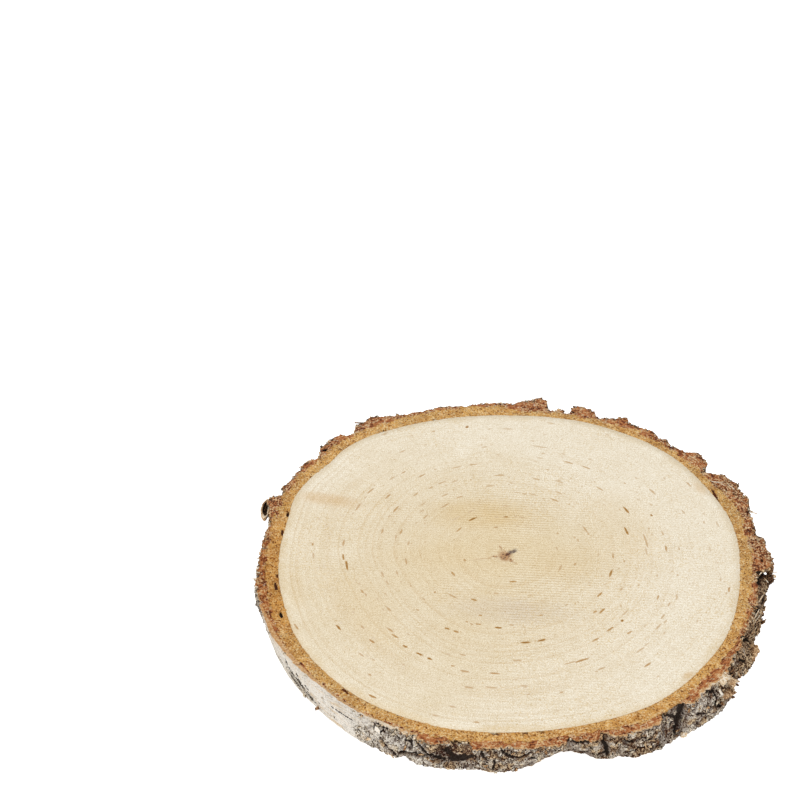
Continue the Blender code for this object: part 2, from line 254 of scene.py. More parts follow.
# Width in mm of the cream layer at the outer edge of the sawn bark
CREAM_LAYER = (
    (0, 0.05), (20, 0.12), (60, 0), (95, 0.12), (120, 0.05), (140, 0.15), (160, 0.3), (172, 0.4),
    (182, 0.3), (190, 0.2), (198, 0.5), (206, 2), (214, 3.2), (228, 3.8), (238, 3.6), (248, 2.6),
    (253, 1.6), (256, 0.5), (265, 0.2), (268, 0.9), (276, 1.1), (283, 0.6), (285, 0), (288, 0.9), (291, 0),
    (293, 1), (304, 1.2), (306, 0.1), (310.8, 0), (312, 1.1), (315, 1.2), (319, 2.1), (323, 2.1),
    (326, 0.6), (334, 0.4), (336, 0), (341, 0.2), (346, 0.7), (352, 0.3), (354, 0),
)

# Round lumps of bark: angle, reach, height, half sizes outwards, along the girth and up, then tone and
# shares of brown, paper and dark
LUMPS = (
    (338.8, 11.4, 2.9, 2.6, 3.2, 2.8, 0.6, 1, 0.1, 0), (336.8, 11.6, 1.8, 1.8, 2.2, 1.8, 0.55, 1, 0.1, 0),
    (359.4, 14.2, 8.2, 2.4, 2.4, 3, 0.25, 1, 0, 0.3), (361.6, 14.6, 9.6, 2, 2, 2, 0.35, 1, 0, 0),
    (357.6, 12.4, 7.8, 2, 2, 2.4, 0.2, 1, 0, 0.5), (360.2, 16.6, 8.6, 1.2, 0.9, 0.9, 0.75, 1, 0.8, 0),
    (291.2, 8.2, 14.6, 0.9, 1.1, 1, 0.55, 1, 0.3, 0), (264.9, 6.6, 12.4, 1, 1.3, 1.6, 0.5, 0.6, 0.3, 0),
    (310, 12.2, 1.5, 1.3, 1.7, 1, 0.75, 1, 0.9, 0), (266.2, 8.2, 13.8, 1, 1, 1.2, 0.6, 0.4, 0.5, 0),
)

# Peeled sheets and fibres placed one by one, in mm and degrees: angle, reach, height, length, width, turn
# from the girth towards up, lift off the bark, curl along it, then tone and shares of brown and paper
FLAKES = (
    (322.6, 8.6, 15.2, 4.6, 6, 90, 72, 45, 0.75, 0, 0.85),
    (324.2, 11.4, 12.8, 4.6, 4.4, 90, 78, 40, 0.62, 1, 0.35),
    (322.2, 12, 8.8, 4.6, 5.6, 90, 66, 50, 0.52, 1, 0.3),
    (320.6, 11.8, 12.6, 4, 1.2, -72, 20, 20, 1.1, 0, 1),
    (325.2, 13.8, 9.6, 2.4, 2.4, 60, 60, 60, 0.3, 1, 0),
    (323, 14.4, 6.4, 2.6, 3, 60, 60, 60, 0.35, 1, 0),
    (229.6, 7.2, 2.6, 2.6, 1.6, 200, 45, 30, 0.35, 1, 0.1),
    (311.2, 9, 1.4, 3, 1.6, -60, 50, 20, 0.7, 0, 1),
    (312.6, 8.6, 6.6, 2.2, 2.6, 20, 15, 10, 0.75, 1, 0.5),
    (360.8, 15.8, 9.6, 2.6, 0.5, 30, 70, 20, 0.7, 1, 0.9),
    (359.4, 15.4, 8, 2.4, 0.5, -10, 70, 20, 0.7, 1, 0.8),
    (184.8, 8.8, 14, 2, 0.6, 160, 80, 10, 0.8, 0, 1),
    (191.2, 9.2, 13, 3.4, 0.35, 165, 75, 20, 0.35, 1, 0.4),
    (246.6, 9.2, 3, 4.4, 0.7, -28, 14, 4, 0.8, 1, 0.8),
    (247.6, 9.4, 2.2, 4.2, 0.7, -26, 16, 4, 0.6, 1, 0.5),
    (248, 9.6, 1.5, 3.8, 0.7, -20, 18, 4, 0.8, 1, 0.8),
    (246, 8.9, 4, 4, 0.6, -32, 12, 4, 0.5, 1, 0.4),
    (244.8, 9, 12.6, 2.7, 2.8, -8, 2, 6, 1.2, 0, 1),
    (128.6, 12.4, 14.6, 4.6, 0.8, 4, 34, 0, 0.35, 1, 0),
    (152.5, 7, 14.6, 3.4, 1.6, 150, 40, 20, 0.5, 1, 0.3),
    (346, 8.4, 13.6, 9, 0.7, 2, 6, 4, 0.75, 1, 0.8),
    (349, 9.4, 11.6, 8, 0.7, -4, 8, 6, 0.6, 1, 0.6),
    (344, 9.2, 9, 8, 0.8, 3, 8, 6, 0.7, 0, 0.5),
    (347.5, 9.2, 7, 8, 0.8, 5, 4, 4, 0.8, 1, 0.7),
    (343, 8.6, 12.6, 8, 0.8, 2, 4, 4, 0.8, 1, 0.8),
    (341.5, 9, 5.6, 7, 0.7, 8, 4, 4, 0.7, 1, 0.5),
    (2, 11.8, 13.8, 4.4, 0.7, 170, 20, 10, 0.8, 1, 0.9),
    (31, 4.7, 15.75, 6, 0.5, 180, 50, 0, 0.9, 1, 0.9),
    (28.3, 11, 15.75, 4.5, 0.5, 180, 14, 0, 0.9, 1, 0.8),
    (29.6, 7.6, 15.75, 3.6, 0.4, 180, 30, 0, 0.8, 1, 0.7),
    (25.4, 9.4, 15.75, 3.6, 0.4, 150, 20, 0, 0.8, 1, 0.6),
    (18, 11.6, 15.7, 3.4, 0.5, 190, 60, 0, 0.8, 1, 0.7),
    (356.4, 11.6, 14.4, 3.6, 0.5, 175, 30, 0, 0.8, 1, 0.9),
    (356.8, 8.6, 14.2, 4.2, 0.6, 60, 25, 10, 0.8, 1, 0.9),
)

# The bark curl's middle, as angle, reach and height, and its half sizes outwards and along the girth
CURL_PLACE = (166.9, 12.9, 0.0)
CURL_HALF = (2.5, 7.4)

# Height in mm at which the bark curl closes
CURL_FOOT = 11.4

# Patches where the paper is worn to scales, in the form of SIDE_MARKS
SCALY_PATCHES = (
    (222.5, 5.5, 6.5, 4.6, -1, 0.75), (213, 6, 5, 2.5, -0.5, 0.55), (242, 5.5, 3.5, 5, 0, 0.48),
    (233, 3, 4, 1.6, 0, 0.35), (206, 9, 1.6, 5, 0, 0.6),
)

# Brown flecks on the wood: angle, radius in mm, length in degrees, strength
FLECKS = (
    (6.5, 77, 3, .6), (14.5, 77.6, 2.2, .4), (15.3, 105.6, 2, .35), (5.7, 98, 2, .3), (22.7, 92.7, 1.8, .4),
    (32.6, 105.4, 2, .5), (35.3, 86.6, 3.2, .5), (11.5, 68.3, 7.5, .55), (5, 67.3, 4, .35),
    (31.5, 67.7, 4.4, .9), (48.5, 67.5, 3.2, .5), (19, 61, 5, .9), (60.2, 76.4, 3.5, .5),
    (67.3, 75.5, 3.6, .55), (78.5, 73.5, 2.5, .3), (79.8, 82.3, 5, .4), (78.8, 102.2, 2.2, .4),
    (65.5, 59.8, 4, .4), (62, 52.2, 4, .4), (76.5, 57.2, 3.2, .5), (60.8, 46.2, 5, .55),
    (75, 45.4, 4.5, .4), (80.3, 44.6, 2.5, .5), (85, 45, 3.5, .3), (1.7, 51.2, 4, .55), (2.5, 44.2, 3, .3),
    (22.8, 42.6, 2, .5), (27.5, 42.6, 6, .5), (18.5, 36.2, 3.5, .4), (22.5, 35.2, 2.5, .3),
    (12, 24.7, 5, .35), (75, 27.3, 6, .4), (82, 26.8, 2.5, .35), (76, 20.3, 5, .3), (51.7, 48.2, 1, .6),
    (24.8, 77, .8, .9), (89, 51.8, 2, .4), (91.3, 94.2, 3, .4), (99.5, 80, 2.2, .4), (94.9, 73.4, 1, .4),
    (103.7, 97, .8, 1), (114, 98, .8, .6), (127, 90.8, 2, .45), (127, 107.5, 2.2, .45),
    (106, 67.3, 3.5, .55), (113.5, 67.5, 4, .4), (133.3, 77.3, 2, .5), (138.5, 77.8, 3, .4),
    (128.8, 69.8, 3, .55), (147.8, 70.3, 3.2, .7), (149, 79.7, 3.4, .6), (153, 79, 1.5, .35),
    (158.8, 78.8, 3.8, .6), (178.7, 78.3, 3.5, .6), (152.8, 61.7, 4.2, .7), (169, 61.4, 3, .6),
    (139, 60.8, 3, .55), (123.8, 59.9, 4, .5), (130.2, 59.7, 2.4, .5), (118, 58, 3.5, .35),
    (110, 56.2, 1, .5), (95, 57.6, 5, .55), (101, 49.8, 5, .4), (128, 51.2, 4.5, .45),
    (141.5, 53.2, 3.5, .4), (167.2, 52.5, 3.6, .6), (171.5, 54, 3.2, .45), (146.5, 50.4, 3, .4),
    (121.5, 46.2, 4.5, .45), (133.5, 44.9, 6.5, .55), (149.3, 46.5, 4, .5), (175.5, 47.2, 3.6, .5),
    (122, 34.2, 6, .35), (92, 34.3, 6, .4), (137, 34.4, 8, .25), (126, 29, 8.5, 1), (146.5, 27.9, 7.5, .6),
    (92.3, 26.2, 5, .85), (102, 26.3, 4, .4), (107, 19, 7, .55), (180, 93, 1.2, .7), (185, 92.2, 2.3, .45),
    (186, 77.9, 3, .8), (190.5, 76.6, 4.5, .9), (201, 73.3, 1, .4), (205.3, 73.5, 2, .7),
    (207.3, 72.8, 1.6, .5), (211, 110.8, 2, .7), (240.3, 114, 2, .8), (216.6, 94.1, 2.2, .9),
    (229, 96.9, 2, .5), (235.6, 103.8, 1, .6), (227.2, 87.4, 2.2, .8), (220.6, 84.9, 1.8, .6),
    (227.5, 76.3, 3.2, .6), (230.8, 77.6, 2.6, .75), (236.5, 79.7, 1.8, .85), (242.4, 80.1, 2.3, .9),
    (246.3, 80.4, 1.8, .9), (254.4, 80.4, 1.2, .6), (258.8, 82.1, 2.8, .7), (268.3, 80.9, 2.9, .75),
    (256, 72.2, 2.3, .55), (261.4, 91.5, 2.3, .6), (267.5, 90, 3.2, .55), (255.7, 112.2, 1.5, .5),
    (265.2, 112, 1.2, .6), (258.8, 104.9, 1.6, .5), (218.5, 68, 3, .6), (198, 60.9, 3.4, .5),
    (204, 60.4, 3, .4), (226.7, 57.9, 1.3, .6), (244.6, 59.2, 2.3, .85), (249.1, 59.1, 2.6, .8),
    (199, 54, 3, .45), (187.7, 52.4, 1, .5), (210.7, 51.1, 1.3, .5), (222.7, 50.9, 2, .4),
    (251.2, 51.2, 1.3, .6), (254, 51.8, 1.6, .6), (257.3, 50.9, 3, .7), (267.9, 51.3, 3.4, .9),
    (191, 48.2, 4.8, .6), (222.3, 43.8, 1.2, .8), (256.5, 44.9, 2, .7), (233, 39.7, 7, .6),
    (247.5, 36.2, 4.5, .8), (213.5, 29.4, 6, .7), (262.5, 28.6, 4.5, .5), (198, 20.5, 5, .7),
    (276, 72.3, 2.8, .6), (277, 88.5, 2.2, .5), (278, 93.9, 1, .5), (287.1, 94.8, .9, .6),
    (280.2, 61.1, 3.8, 1), (287.5, 61, 3.4, .95), (293.5, 78.4, 3.5, .45), (297.8, 79, 5, .8),
    (301.5, 87.4, 2.2, .55), (307.5, 70.7, 3, .7), (313.3, 97.1, 2.3, .75), (315.5, 69.6, 3.4, .8),
    (319.3, 77.2, 2, .7), (322.3, 69.8, 1.2, 1), (326.5, 67.8, 4, .4), (316, 88.2, 3, .4),
    (319, 87.8, 2, .3), (327.5, 85.1, 3, .45), (330.8, 86, 1.6, .4), (332.4, 83.5, 2.2, .5),
    (338.5, 82.8, 1.8, .45), (342.5, 84.8, 2, .4), (340.2, 76.5, 2.2, .65), (350.2, 107, 1.8, .65),
    (348.6, 106.2, 1, .4), (321.5, 58.8, 3.6, .8), (318.6, 56.9, 2.2, .65), (338.7, 59, 2.2, .5),
    (330, 51.7, 4, .75), (347.8, 51.2, 5.5, .85), (358, 56.5, 1.4, .5), (293, 45.3, 2.3, .6),
    (274.8, 49.3, 2.5, .5), (311, 44.9, 2, .4), (350.3, 33.5, 3.6, .6), (341.5, 27.5, 8, .5),
    (293.5, 31, 3, .4), (281, 20.1, 9, .75),
)

# Brown marks at the pith, and the grey spot beside them: x and y from the pith, half length and half width
# in mm, turn in degrees, strength
PITH_MARKS = (
    (-0.5, -2, 3.4, 4.3, 0, 1), (-2.7, 3.6, 2.6, 0.5, 104, 0.8), (2.6, -4.8, 1.3, 1.2, 0, 1),
    (4.4, -6.4, 2.4, 0.6, -39, 0.4), (-5, -2.5, 1.6, 0.8, 10, 0.8), (-7.4, -3.6, 2.8, 0.6, 28, 0.5),
    (-12, -4.8, 4.6, 0.6, 8, 0.3), (0.6, -0.6, 2, 1.3, 40, 1.6),
)
BUD_TRACE = (3.3, 1.7, 2.9, 1.7, 37, 1.0)

# Stains on the wood: angle, radius, half length, half width (mm), turn in degrees, colour name, strength
STAINS = (
    (159.5, 94, 24, 7.0, 172, "stain_brown", 0.42), (198, 103, 20, 7, 100, "stain_yellow", 0.35),
    (30, 109, 8, 4, 120, "stain_brown", 0.5), (318, 114, 5, 3, 40, "stain_brown", 0.45),
    (115, 30, 36, 16, 0, "stain_yellow", 0.55), (275, 40, 42, 13, 0, "stain_grey", 0.5),
    (215, 78, 40, 18, 120, "stain_yellow", 0.3), (20, 60, 26, 40, 0, "stain_yellow", 0.18),
    (352, 30, 26, 18, 0, "stain_yellow", 0.3), (190, 30, 30, 14, 0, "stain_yellow", 0.25),
)


def ring_points(ring, angle):
    """The four points of a closed list round an angle, with angles that keep rising."""
    turns = len(ring)
    after = next((i for i, point in enumerate(ring) if point[0] > angle), turns)
    picked = []
    for i in range(after - 2, after + 2):
        lap, place = divmod(i, turns)
        picked.append((ring[place][0] + 360 * lap, ring[place][1]))
    return picked


def smooth_at(ring, angle):
    """A closed list read as one smooth curve through its points."""
    (a0, v0), (a1, v1), (a2, v2), (a3, v3) = ring_points(ring, angle % 360)
    width = a2 - a1
    t = (angle % 360 - a1) / width
    leave = (v2 - v0) / (a2 - a0) * width
    arrive = (v3 - v1) / (a3 - a1) * width
    turn = 3 * (v2 - v1) - 2 * leave - arrive
    ease = leave + arrive - 2 * (v2 - v1)
    return v1 + t * (leave + t * (turn + t * ease))


def smooth(ring, angles):
    """A closed list read smoothly at many angles."""
    return np.array([smooth_at(ring, angle) for angle in angles])


def straight(ring, angles):
    """A closed list read with straight runs between its points."""
    return np.interp(angles, [a for a, _ in ring], [v for _, v in ring], period=360)


def ease(value, low, high):
    """0 below low, 1 above high, with a soft start and end."""
    t = np.clip((value - low) / (high - low), 0, 1)
    return t * t * (3 - 2 * t)


def drift(points, size, octaves=2):
    """Soft noise from -1 to 1 at an array of points in mm, with features of about the given size."""
    scaled = (points / np.asarray(size, float)).reshape(-1, 3)
    values = [noise.fractal(Vector(p), 1.0, 2.0, octaves) for p in scaled]
    return np.array(values).reshape(points.shape[:-1])


def plates(points, size):
    """Scales of bark: the gap to the next scale, and a random number for each scale."""
    scaled = (points / np.asarray(size, float)).reshape(-1, 3)
    gap = np.empty(len(scaled))
    middle = np.empty((len(scaled), 3))
    for i, p in enumerate(scaled):
        distances, middles = noise.voronoi(Vector(p))
        gap[i] = distances[1] - distances[0]
        middle[i] = middles[0]
    mixed = np.sin(middle @ np.array([12.99, 78.23, 37.72])) * 437.58
    shape = points.shape[:-1]
    pick = mixed - np.floor(mixed)
    return gap.reshape(shape), pick.reshape(shape)


def turned_from(angles, start):
    """Angles as turned from a starting angle, from -180 to 180."""
    return (angles - start + 180) % 360 - 180


def stem_points(angles, reach, height):
    """Points of the slice in mm about the pith; reach and height broadcast as rows by angles."""
    around = np.radians(angles)
    radius, height = np.broadcast_arrays(smooth(WOOD_EDGE, angles) + reach, height)
    return np.stack([radius * np.cos(around), radius * np.sin(around), height], -1)


def primitive(name, add, **settings):
    """A new primitive at the origin, named, active and alone selected."""
    bpy.ops.object.select_all(action="DESELECT")
    add(location=(0, 0, 0), **settings)
    bpy.context.object.name = name
    return bpy.context.object


def thicken(piece, thickness, offset):
    """Give a piece a wall of the given thickness."""
    wall = piece.modifiers.new("wall", "SOLIDIFY")
    wall.thickness = thickness
    wall.offset = offset
    bpy.ops.object.modifier_apply(modifier=wall.name)


@contextmanager
def editing(action="SELECT"):
    """Edit mode on the active piece, entered with all of it selected or deselected."""
    bpy.ops.object.mode_set(mode="EDIT")
    bpy.ops.mesh.select_all(action=action)
    yield
    bpy.ops.object.mode_set(mode="OBJECT")


def points_of(piece):
    """A piece's points as an array."""
    at = np.empty(len(piece.data.vertices) * 3)
    piece.data.vertices.foreach_get("co", at)
    return at.reshape(-1, 3)


def corners_of(piece):
    """For each corner of each face, the number of its point."""
    corners = np.empty(len(piece.data.loops), int)
    piece.data.loops.foreach_get("vertex_index", corners)
    return corners


def turned_blank(name, stations, rows):
    """A ring of points extruded downwards row by row; its shape follows in place_rows."""
    blank = primitive(name, bpy.ops.mesh.primitive_circle_add, vertices=stations, radius=1)
    blank.data.name = name
    with editing():
        for _ in range(1, rows):
            bpy.ops.mesh.extrude_region_move(TRANSFORM_OT_translate={"value": (0, 0, -1)})
    at = points_of(blank)
    turn = np.arctan2(at[:, 1], at[:, 0]) % (2 * math.pi)
    station = np.rint(turn / (2 * math.pi) * stations).astype(int) % stations
    row = np.rint(-at[:, 2]).astype(int)
    return blank, station, row


def place_rows(piece, station, row, points):
    """Move a blank's points to their places, given in mm about the pith as rows by stations."""
    at = points[row, station] * MM + FOOT
    piece.data.vertices.foreach_set("co", at.ravel())
    piece.data.update()


def write_values(piece, station, row, **fields):
    """Store fields, by rows and stations or by stations alone, on the piece's points for its material."""
    for name, field in fields.items():
        field = np.asarray(field, float)
        layer = piece.data.attributes.new(name, "FLOAT", "POINT")
        layer.data.foreach_set("value", field[station] if field.ndim == 1 else field[row, station])


def write_girth(piece, station, row, angles, along):
    """Store a seamless map round the stem: two values turn with the angle, one runs along the section."""
    around = np.radians(angles)
    radius = 112.0
    turned = np.stack(np.broadcast_arrays(radius * np.cos(around), radius * np.sin(around), along), -1)
    layer = piece.data.attributes.new("girth", "FLOAT_VECTOR", "POINT")
    layer.data.foreach_set("vector", turned[row, station].ravel())


def unroll(piece, station, row, stations, row_share, strips):
    """A map of the section unrolled round the stem and cut into strips, for baking."""
    end_margin = 0.004
    side_margin = 0.03
    quads = corners_of(piece).reshape(-1, 4)
    across = station[quads]
    wraps = np.ptp(across, axis=1) > stations / 2
    across = np.where(wraps[:, None] & (across < stations / 2), across + stations, across)
    wide = stations // strips
    strip = across.min(axis=1) // wide
    u = end_margin + (1 - 2 * end_margin) * (across - (strip * wide)[:, None]) / wide
    v = (strip[:, None] + side_margin + (1 - 2 * side_margin) * row_share[row[quads]]) / strips
    layer = piece.data.uv_layers.new(name="OFBake")
    layer.data.foreach_set("uv", np.stack([u, v], -1).ravel().astype(np.float32))


def map_from_above(piece):
    """A map of the piece as seen from above, for baking."""
    side = 0.236
    middle = np.array([PITH[0], PITH[1] - 0.006])
    layer = piece.data.uv_layers.new(name="OFBake")
    flat = (points_of(piece)[corners_of(piece), :2] - middle) / side + 0.5
    layer.data.foreach_set("uv", flat.ravel().astype(np.float32))


def fill_ring(piece, chosen):
    """Close the ring of the chosen points with a face."""
    with editing("DESELECT"):
        bpy.ops.mesh.select_mode(type="VERT")
    piece.data.vertices.foreach_set("select", chosen)
    bpy.ops.object.mode_set(mode="EDIT")
    bpy.ops.mesh.edge_face_add()
    bpy.ops.object.mode_set(mode="OBJECT")


def close_seam(piece):
    """Merge the first and the last row, turn the faces outwards and shade the piece smooth."""
    bpy.ops.object.select_all(action="DESELECT")
    piece.select_set(True)
    bpy.context.view_layer.objects.active = piece
    with editing():
        bpy.ops.mesh.remove_doubles(threshold=0.000001)
        bpy.ops.mesh.normals_make_consistent(inside=False)
    bpy.ops.object.shade_smooth()


def linear(colour):
    """The surface colour that shows as the given screen colour under the stage's light."""
    parts = [c / 12.92 if c <= 0.04045 else ((c + 0.055) / 1.055) ** 2.4 for c in colour[:3]]
    return (*(part / STAGE_LIGHT for part in parts), 1.0)


class Finish:
    """A material under construction: each call adds one node and returns its result."""

    def __init__(self, name, roughness):
        self.material = bpy.data.materials.new(name)
        self.material.use_nodes = True
        self.tree = self.material.node_tree
        self.shader = self.tree.nodes["Principled BSDF"]
        self.shader.inputs["Roughness"].default_value = roughness
        self.shader.inputs["Specular IOR Level"].default_value = 0.25
        self.place = self.node("ShaderNodeTexCoord").outputs["Object"]

    def node(self, kind, inputs=None, **settings):
        made = self.tree.nodes.new(kind)
        for name, value in settings.items():
            setattr(made, name, value)
        for name, value in (inputs or {}).items():
            if isinstance(value, bpy.types.NodeSocket):
                self.tree.links.new(value, made.inputs[name])
            else:
                made.inputs[name].default_value = value
        return made

    def field(self, name, output="Fac"):
        return self.node("ShaderNodeAttribute", attribute_name=name).outputs[output]

    def math(self, operation, first, second=0.0, clamp=False):
        made = self.node("ShaderNodeMath", {0: first, 1: second}, operation=operation)
        made.use_clamp = clamp
        return made.outputs[0]

    def add(self, first, *others, clamp=False):
        """The sum of the values."""
        for other in others:
            first = self.math("ADD", first, other, clamp)
        return first

    def times(self, first, *others, clamp=False):
        """The product of the values."""
        for other in others:
            first = self.math("MULTIPLY", first, other, clamp)
        return first

    def less(self, first, second):
        """The first value less the second."""
        return self.math("SUBTRACT", first, second)

    def vector(self, operation, first, second):
        return self.node("ShaderNodeVectorMath", {0: first, 1: second}, operation=operation).outputs[0]

    def noise(self, place, scale, detail=3.0, roughness=0.55):
        """Noise from 0 to 1; the scale is in features to a metre where the place is in metres."""
        inputs = {"Vector": place, "Scale": scale, "Detail": detail, "Roughness": roughness}
        return self.node("ShaderNodeTexNoise", inputs).outputs["Fac"]

    def stretched(self, place, scale):
        return self.node("ShaderNodeMapping", {"Vector": place, "Scale": scale}).outputs[0]

    def between(self, value, low, high):
        """0 at low, 1 at high, held outside."""
        inputs = {"Value": value, "From Min": low, "From Max": high}
        return self.node("ShaderNodeMapRange", inputs, interpolation_type="SMOOTHSTEP").outputs[0]

    def mix(self, share, first, second, blend="MIX"):
        made = self.node("ShaderNodeMix", data_type="RGBA", blend_type=blend)
        for index, value in ((0, share), (6, first), (7, second)):
            if isinstance(value, bpy.types.NodeSocket):
                self.tree.links.new(value, made.inputs[index])
            elif index:
                made.inputs[index].default_value = linear(value)
            else:
                made.inputs[index].default_value = value
        return made.outputs[2]

    def ramp(self, value, *stops):
        """A run of colours along a value; each stop is a place and a colour."""
        made = self.node("ShaderNodeValToRGB", {"Fac": value})
        band = made.color_ramp
        while len(band.elements) < len(stops):
            band.elements.new(0.5)
        for element, (place, colour) in zip(band.elements, stops):
            element.position = place
            element.color = linear(colour)
        return made.outputs["Color"]

    def cells(self, place, scale):
        """Irregular cells: a random number for each, and the distance to its edge in cell widths."""
        colour = self.node("ShaderNodeTexVoronoi", {"Vector": place, "Scale": scale}).outputs["Color"]
        inputs = {"Vector": place, "Scale": scale}
        edge = self.node("ShaderNodeTexVoronoi", inputs, feature="DISTANCE_TO_EDGE").outputs["Distance"]
        return self.node("ShaderNodeSeparateColor", {"Color": colour}).outputs[0], edge

    def warped(self, place, scale, amount):
        """A place pushed about by noise."""
        inputs = {"Vector": place, "Scale": scale, "Detail": 2.0}
        shift = self.node("ShaderNodeTexNoise", inputs).outputs["Color"]
        shift = self.vector("SUBTRACT", shift, (0.5, 0.5, 0.5))
        return self.vector("ADD", place, self.vector("MULTIPLY", shift, (amount, amount, amount)))

    def around(self, value, amount):
        """A noise value as a swing about zero."""
        return self.times(self.less(value, 0.5), amount)

    def bump(self, height, distance, strength=1.0):
        inputs = {"Height": height, "Distance": distance, "Strength": strength}
        return self.node("ShaderNodeBump", inputs).outputs[0]

    def paint(self, colour, normal=None):
        """Gives the shader its colour and its bump, and returns the finished material."""
        self.tree.links.new(colour, self.shader.inputs["Base Color"])
        if normal:
            self.tree.links.new(normal, self.shader.inputs["Normal"])
        return self.material


def colour_property(name, description, red, green, blue):
    return bpy.props.FloatVectorProperty(
        name=name, description=description, subtype="COLOR_GAMMA", size=3, min=0, max=1,
        default=(red / 255, green / 255, blue / 255),
    )


class SliceWoodSettings(bpy.types.PropertyGroup):
    """Sizes and colours of the sawn wood."""

    ring_spacing: bpy.props.FloatProperty(
        name="Ring spacing", description="Mean width of a growth ring", default=0.0044, unit="LENGTH",
    )
    saw_spacing: bpy.props.FloatProperty(
        name="Saw line spacing", description="Distance between saw lines", default=0.0017, unit="LENGTH",
    )
    fleck_width: bpy.props.FloatProperty(
        name="Fleck width", description="Width of a strong fleck", default=0.0018, unit="LENGTH",
    )
    heart: colour_property("Heart", "Wood round the pith", 228, 209, 172)
    middle: colour_property("Middle", "Wood half way out", 229, 213, 182)
    sapwood: colour_property("Sapwood", "Wood beside the bark", 239, 228, 206)
    ring_line: colour_property("Ring line", "Late wood of a growth ring", 204, 172, 122)
    rim_line: colour_property("Rim line", "Thin line where wood meets bark", 208, 162, 98)
    fleck: colour_property("Fleck", "Brown flecks", 180, 132, 58)
    fleck_dark: colour_property("Dark fleck", "Middle of strong flecks", 112, 74, 26)
    pith: colour_property("Pith", "Pith", 182, 134, 88)
    pith_dark: colour_property("Dark pith", "Dark scraps in the pith", 84, 44, 30)
    knot: colour_property("Bud trace", "Grey spot beside the pith", 96, 77, 72)
    stain_brown: colour_property("Brown stain", "Brown streaks", 214, 180, 132)
    stain_yellow: colour_property("Yellow stain", "Yellowish wood", 218, 190, 138)
    stain_grey: colour_property("Grey stain", "Greyish wood", 214, 198, 174)


class SliceBarkSettings(bpy.types.PropertyGroup):
    """Colours of the bark."""

    ochre: colour_property("Ochre", "Inner bark", 224, 172, 98)
    ochre_brown: colour_property("Brown ochre", "Browner patches of inner bark", 209, 154, 86)
    ochre_light: colour_property("Light ochre", "Light grains of inner bark", 246, 214, 160)
    ochre_dark: colour_property("Dark ochre", "Dark grains of inner bark", 126, 74, 30)
    cork: colour_property("Cork", "Reddish cork", 190, 122, 74)
    cork_red: colour_property("Red cork", "Red grains of cork", 138, 76, 48)
    cork_light: colour_property("Light cork", "Light grains of cork", 222, 174, 122)
    cork_dark: colour_property("Dark cork", "Dark grains of cork", 80, 42, 28)
    cream: colour_property("Cream", "Cream edges of layers", 240, 214, 174)
    grey: colour_property("Grey bark", "Grey scales", 184, 166, 140)
    grey_light: colour_property("Light grey", "Pale scales", 232, 216, 190)
    grey_dark: colour_property("Dark grey", "Dark scales", 74, 61, 48)
    tan: colour_property("Tan", "Broken bark", 208, 164, 114)
    brown: colour_property("Brown", "Brown bark", 130, 88, 60)
    paper: colour_property("Paper", "White paper bark", 247, 239, 226)
    paper_warm: colour_property("Warm paper", "Cream layers of paper bark", 232, 210, 180)
    black: colour_property("Fissure", "Inside of cracks", 34, 25, 19)


class SliceStageSettings(bpy.types.PropertyGroup):
    """Camera, floor and light."""

    lens: bpy.props.FloatProperty(
        name="Lens", description="Focal length of the camera", default=103.46, unit="CAMERA",
    )
    eye: bpy.props.FloatVectorProperty(
        name="Eye", description="Camera's place from the pith", subtype="XYZ", unit="LENGTH",
        default=(0.00543, -0.81796, 0.75820),
    )
    aim: bpy.props.FloatVectorProperty(
        name="Aim", description="Point the camera looks at, from the pith", subtype="XYZ", unit="LENGTH",
        default=(-0.06011, 0.13411, 0.0),
    )
    floor_size: bpy.props.FloatProperty(
        name="Floor", description="Side of the square floor", default=12.0, unit="LENGTH",
    )
    floor_colour: colour_property("Floor colour", "Plain pale floor", 150, 150, 150)
    floor_glow: bpy.props.FloatProperty(
        name="Floor glow", description="Light of the pale floor itself", default=0.8,
    )


def ring_size(angles, radius):
    """Ring coordinate in mm: rings follow the middle ring inside it, and ease to the wood's edge outside."""
    middle = smooth(MIDDLE_RING, angles)
    edge = smooth(WOOD_EDGE, angles)
    inside = radius / middle * MIDDLE_RING_SIZE
    share = (radius - middle) / (edge - middle)
    return np.where(radius < middle, inside, MIDDLE_RING_SIZE + share * (EDGE_RING_SIZE - MIDDLE_RING_SIZE))


def blot(x, y, mark):
    """An oval mark on the sawn face, full in its middle."""
    left, down, half_length, half_width, turn, strength = mark
    swing = math.radians(turn)
    along = ((x - left) * math.cos(swing) + (y - down) * math.sin(swing)) / half_length
    across = ((y - down) * math.cos(swing) - (x - left) * math.sin(swing)) / half_width
    return strength * (1 - ease(np.hypot(along, across), 0.45, 1.2))


def pith_marks(x, y):
    """The brown blotch of the pith and the grey spot beside it, each 0 outside and 1 in its middle."""
    ground = np.stack([x, y, 0 * x], -1)
    sway_x = x + 0.7 * drift(ground, 2.2)
    sway_y = y + 0.7 * drift(ground + 40, 2.2)
    brown = np.max([blot(sway_x, sway_y, mark) for mark in PITH_MARKS], axis=0)
    return brown, blot(sway_x, sway_y, BUD_TRACE)


def low_edges(angles):
    """Reaches of the wood and of the inner bark on the lower face, cut back where bark is broken off."""
    low = straight(LOW_RIM, angles)
    inner = np.minimum(smooth(INNER_BARK, angles), low - 1.2)
    wood = np.minimum(0.0, inner - 0.8)
    return wood, inner


